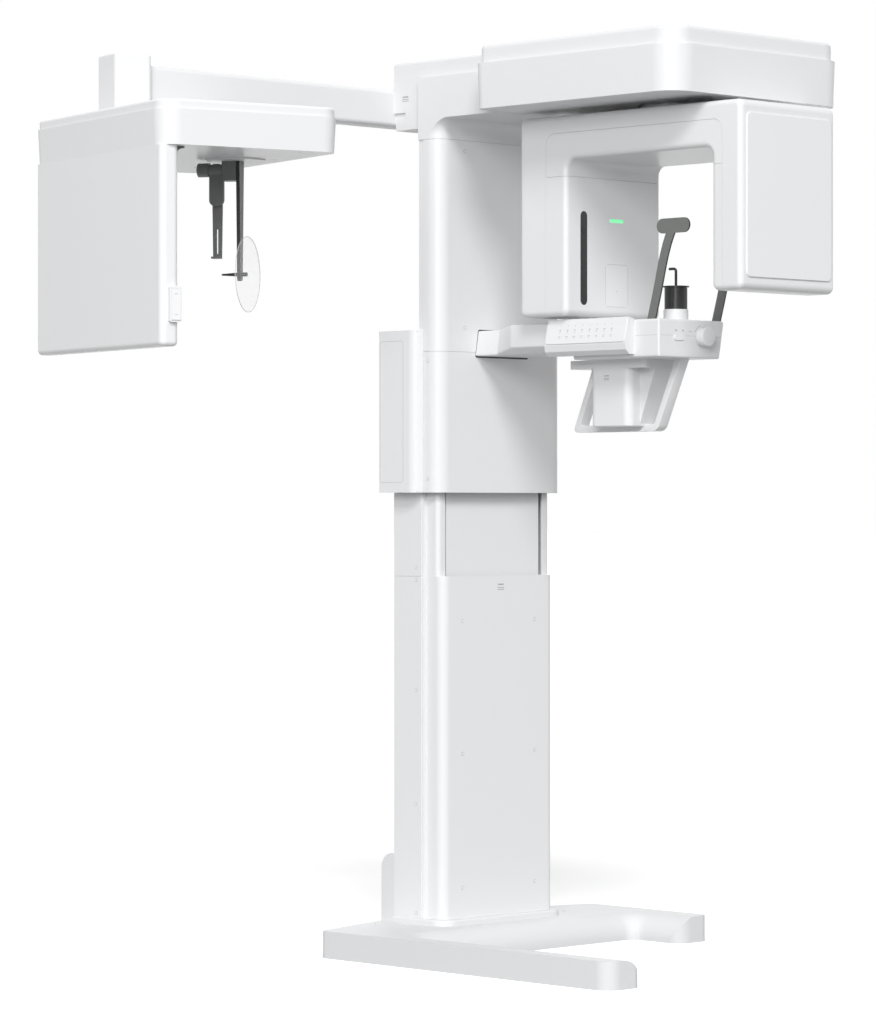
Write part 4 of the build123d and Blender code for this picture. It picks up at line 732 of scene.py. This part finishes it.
# Strip that closes the rounded front corner of the side box
corner = {
    "round": 0.028,
    "radius": 0.02796,
    "sheet": 0.0012,
    "start": 246.0,
    "turn": 26.0,
    "steps": 8,
    "margin": 0.0035,
}
boxLow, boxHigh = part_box("side_box")
cornerX = boxLow.x + corner["round"]
cornerY = boxLow.y + corner["round"]
cornerStart = math.radians(corner["start"])
startWay = Vector((math.cos(cornerStart), math.sin(cornerStart), 0))
cornerPlace = Vector((cornerX, cornerY, (boxLow.z + boxHigh.z) / 2))
cornerPlace += startWay * (corner["radius"] - corner["sheet"] / 2)
cornerTall = boxHigh.z - boxLow.z - 2 * corner["margin"]
cornerSize = Matrix.Diagonal((corner["sheet"], cornerTall, 1, 1))
bpy.ops.object.select_all(action="DESELECT")
bpy.ops.mesh.primitive_plane_add(size=1.0)
sideBoxCorner = bpy.context.view_layer.objects.active
put(sideBoxCorner, lineFrame(cornerPlace, startWay, (0, 0, 1)) @ cornerSize)
bpy.ops.object.transform_apply(location=True, rotation=True, scale=True)
choose(sideBoxCorner, "FACE", lambda face: True)
bpy.ops.mesh.spin(
    steps=corner["steps"], angle=math.radians(corner["turn"]), center=(cornerX, cornerY, 0), axis=(0, 0, 1)
)
facedOut()
bpy.ops.object.shade_smooth_by_angle(angle=shading["smooth"])
settle("sideBoxCorner", "carriage", paints["cover_white"])

# Painted shade of the seam round the side box door
seam = {"corner": 0.008, "cornerSteps": 5, "width": 0.001, "lift": 0.0002}
doorLow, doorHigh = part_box("side_box_door")
doorMiddle = (doorLow + doorHigh) / 2
doorPlace = (boxLow.x + seam["lift"], doorMiddle.y, doorMiddle.z)
doorSize = (doorHigh.y - doorLow.y + seam["width"], doorHigh.z - doorLow.z + seam["width"], 1, 1)
bpy.ops.object.select_all(action="DESELECT")
bpy.ops.mesh.primitive_plane_add(size=1.0)
doorSeamShade = bpy.context.view_layer.objects.active
put(doorSeamShade, lineFrame(doorPlace, (0, 1, 0), (0, 0, 1)) @ Matrix.Diagonal(doorSize))
bpy.ops.object.transform_apply(location=True, rotation=True, scale=True)
choose(doorSeamShade, "VERT", lambda point: True)
bpy.ops.mesh.bevel(offset=seam["corner"], segments=seam["cornerSteps"], affect="VERTICES")
choose(doorSeamShade, "FACE", lambda face: True)
bpy.ops.mesh.inset(thickness=seam["width"])
bpy.ops.mesh.delete(type="FACE")
bpy.ops.mesh.select_all(action="SELECT")
bpy.ops.mesh.extrude_region_move(TRANSFORM_OT_translate={"value": (-2 * seam["lift"], 0, 0)})
facedOut()
settle("doorSeamShade", "carriage", paints["seam_shade_and_rim_reflection_grey"])

# Lock of the side box door
lock = {"in": 0.0008, "fromEdge": 0.009, "rise": 0.2, "size": (0.0085, 0.0022, 0.0004)}
lockPlace = (doorLow.x + lock["in"], doorLow.y + lock["fromEdge"], doorLow.z + lock["rise"])
put(bar(*lock["size"]), lineFrame(lockPlace, (0, 1, 0), (0, 0, 1)))
settle("doorLock", "door", paints["black_plastic"])

# Temple knob with its rounded rim
knob = {"radius": 0.0245, "gap": 0.0003, "sides": 64, "edge": 0.003, "edgeSteps": 4}
knobDepth = capLow.y - knob["gap"] - knobLow.y
bpy.ops.object.select_all(action="DESELECT")
bpy.ops.mesh.primitive_cylinder_add(
    vertices=knob["sides"],
    radius=knob["radius"],
    depth=knobDepth,
    location=(knobX, knobLow.y + knobDepth / 2, knobZ),
    rotation=(math.radians(90), 0, 0),
)
bpy.ops.object.transform_apply(location=True, rotation=True, scale=True)
soften(bpy.context.view_layer.objects.active, knob["edge"], knob["edgeSteps"])
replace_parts(settle("knobBody", "knob", paints["panel_white"]), "temple_knob")

# Hand grip, one bent bar with its upper run inside the console
grip = {
    "half": 0.0165,
    "bar": 0.017,
    "front": -0.683,
    "back": -0.39,
    "low": 1.35,
    "rise": 0.015,
    "frontLean": 0.44,
    "backLean": 0.42,
    "outer": 0.016,
    "inner": 0.006,
    "bendSteps": 5,
    "edge": 0.0025,
    "edgeSteps": 3,
    "near": 0.001,
    "facing": 0.9,
}
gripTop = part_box("hand_grip")[1].z + grip["rise"]
gripTall = gripTop - grip["low"]
gripMiddle = (grip["low"] + gripTop) / 2
gripCentre = (grip["front"] + grip["back"]) / 2
gripBar = block((-grip["half"], grip["front"], grip["low"]), (grip["half"], grip["back"], gripTop))
choose(gripBar, "VERT", lambda point: point.co.z > gripMiddle and point.co.y < gripCentre)
bpy.ops.transform.translate(value=(0, -grip["frontLean"] * gripTall, 0))
choose(gripBar, "VERT", lambda point: point.co.z > gripMiddle and point.co.y > gripCentre)
bpy.ops.transform.translate(value=(0, -grip["backLean"] * gripTall, 0))
choose(gripBar, "FACE", lambda face: abs(face.normal.x) > grip["facing"])
bpy.ops.mesh.inset(thickness=grip["bar"], use_individual=True)
bpy.ops.mesh.bridge_edge_loops()


def isBend(edge, level):
    first, second = ends(gripBar, edge)
    atLevel = max(abs(first.z - level), abs(second.z - level)) < grip["near"]
    return atLevel and abs(first.x - second.x) > grip["half"]


for level, width in ((grip["low"], grip["outer"]), (grip["low"] + grip["bar"], grip["inner"])):
    choose(gripBar, "EDGE", lambda edge: isBend(edge, level))
    bpy.ops.mesh.bevel(offset=width, segments=grip["bendSteps"], affect="EDGES")
facedOut()
soften(gripBar, grip["edge"], grip["edgeSteps"])
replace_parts(settle("gripBar", "carriage", paints["cover_white"]), "hand_grip")
print("stage: arm, corner, door, knob and grip")


def shownRay(tree):
    # One for what the camera sees straight, mirrored or through a clear piece, none for light on the object
    rays = tree.nodes.new("ShaderNodeLightPath")
    total = rays.outputs["Is Camera Ray"]
    for name in ("Is Glossy Ray", "Is Transmission Ray"):
        either = tree.nodes.new("ShaderNodeMath")
        either.operation = "MAXIMUM"
        tree.links.new(total, either.inputs[0])
        tree.links.new(rays.outputs[name], either.inputs[1])
        total = either.outputs["Value"]
    return total


def grey(level):
    return (level, level, level, 1.0)


# Floor, shown pale but throwing less light back on the undersides
floorTone = {"size": 400.0, "shown": 0.95, "bounce": 0.3, "glow": 0.25, "rough": 0.9}
bpy.ops.object.select_all(action="DESELECT")
bpy.ops.mesh.primitive_plane_add(size=floorTone["size"], location=(0, 0, 0))
floor = bpy.context.view_layer.objects.active
floor.name = "floor"
floorPaint = bpy.data.materials.new("floorPaint")
floorPaint.use_nodes = True
floorTree = floorPaint.node_tree
floorShader = floorTree.nodes["Principled BSDF"]
floorShader.inputs["Roughness"].default_value = floorTone["rough"]
floorShader.inputs["Emission Color"].default_value = grey(1.0)
floorMix = floorTree.nodes.new("ShaderNodeMix")
floorMix.data_type = "RGBA"
floorMix.inputs["A"].default_value = grey(floorTone["bounce"])
floorMix.inputs["B"].default_value = grey(floorTone["shown"])
floorGlow = floorTree.nodes.new("ShaderNodeMath")
floorGlow.operation = "MULTIPLY"
floorGlow.inputs[1].default_value = floorTone["glow"]
floorShown = shownRay(floorTree)
floorTree.links.new(floorShown, floorMix.inputs["Factor"])
floorTree.links.new(floorShown, floorGlow.inputs[0])
floorTree.links.new(floorGlow.outputs["Value"], floorShader.inputs["Emission Strength"])
floorTree.links.new(floorMix.outputs["Result"], floorShader.inputs["Base Color"])
floor.data.materials.append(floorPaint)

# Sky that is shown white, lights the object less than it shows, and is greyer above
sky = {"shown": 1.0, "horizon": 0.56, "zenith": 0.46, "low": 0.12, "high": 0.7}
world = bpy.data.worlds.new("studio")
world.use_nodes = True
skyTree = world.node_tree
skyShader = skyTree.nodes["Background"]
skyShader.inputs["Color"].default_value = grey(1.0)
skyPlace = skyTree.nodes.new("ShaderNodeTexCoord")
skySplit = skyTree.nodes.new("ShaderNodeSeparateXYZ")
skyRange = skyTree.nodes.new("ShaderNodeMapRange")
skyRange.inputs["From Min"].default_value = sky["low"]
skyRange.inputs["From Max"].default_value = sky["high"]
skyRange.inputs["To Min"].default_value = sky["horizon"]
skyRange.inputs["To Max"].default_value = sky["zenith"]
skyMix = skyTree.nodes.new("ShaderNodeMix")
skyMix.data_type = "FLOAT"
skyMix.inputs["B"].default_value = sky["shown"]
skyTree.links.new(skyPlace.outputs["Generated"], skySplit.inputs["Vector"])
skyTree.links.new(skySplit.outputs["Z"], skyRange.inputs["Value"])
skyTree.links.new(skyRange.outputs["Result"], skyMix.inputs["A"])
skyTree.links.new(shownRay(skyTree), skyMix.inputs["Factor"])
skyTree.links.new(skyMix.outputs["Result"], skyShader.inputs["Strength"])
bpy.context.scene.world = world

lamps = {
    "sun": {
        "type": "SUN", "place": (-5.0, -6.2, 6.0), "aim": (0.0, 0.0, 0.0), "power": 1.8, "spread": 18.0,
    },
    "key": {
        "type": "AREA", "place": (-8.4, -6.0, 4.6), "aim": (-0.2, -0.4, 1.3), "power": 420.0, "size": 3.2,
    },
    "fill": {
        "type": "SUN", "place": (6.0, 5.0, 1.6), "aim": (0.0, 0.0, 0.0), "power": 0.6, "spread": 40.0,
    },
}
for name, values in lamps.items():
    bpy.ops.object.select_all(action="DESELECT")
    bpy.ops.object.light_add(type=values["type"], location=values["place"])
    lamp = bpy.context.view_layer.objects.active
    lamp.name = name
    lamp.data.energy = values["power"]
    if values["type"] == "SUN":
        lamp.data.angle = math.radians(values["spread"])
    else:
        lamp.data.size = values["size"]
    aim = Vector(values["aim"]) - Vector(values["place"])
    lamp.rotation_euler = aim.to_track_quat("-Z", "Y").to_euler()

view = {
    "place": (-7.469, -7.468, 1.15),
    "along": (0.7013, 0.7128, 0.0),
    "lens": 140.0,
    "shift": -0.0017,
    "far": 200.0,
}
bpy.ops.object.select_all(action="DESELECT")
bpy.ops.object.camera_add(location=view["place"])
camera = bpy.context.view_layer.objects.active
camera.name = "camera"
camera.rotation_euler = Vector(view["along"]).to_track_quat("-Z", "Y").to_euler()
camera.data.lens = view["lens"]
camera.data.shift_y = view["shift"]
camera.data.clip_end = view["far"]
camera.data.dof.use_dof = False
bpy.context.scene.camera = camera
bpy.context.scene.view_settings.view_transform = "Standard"
print("stage: light and camera")

print("stage: done")
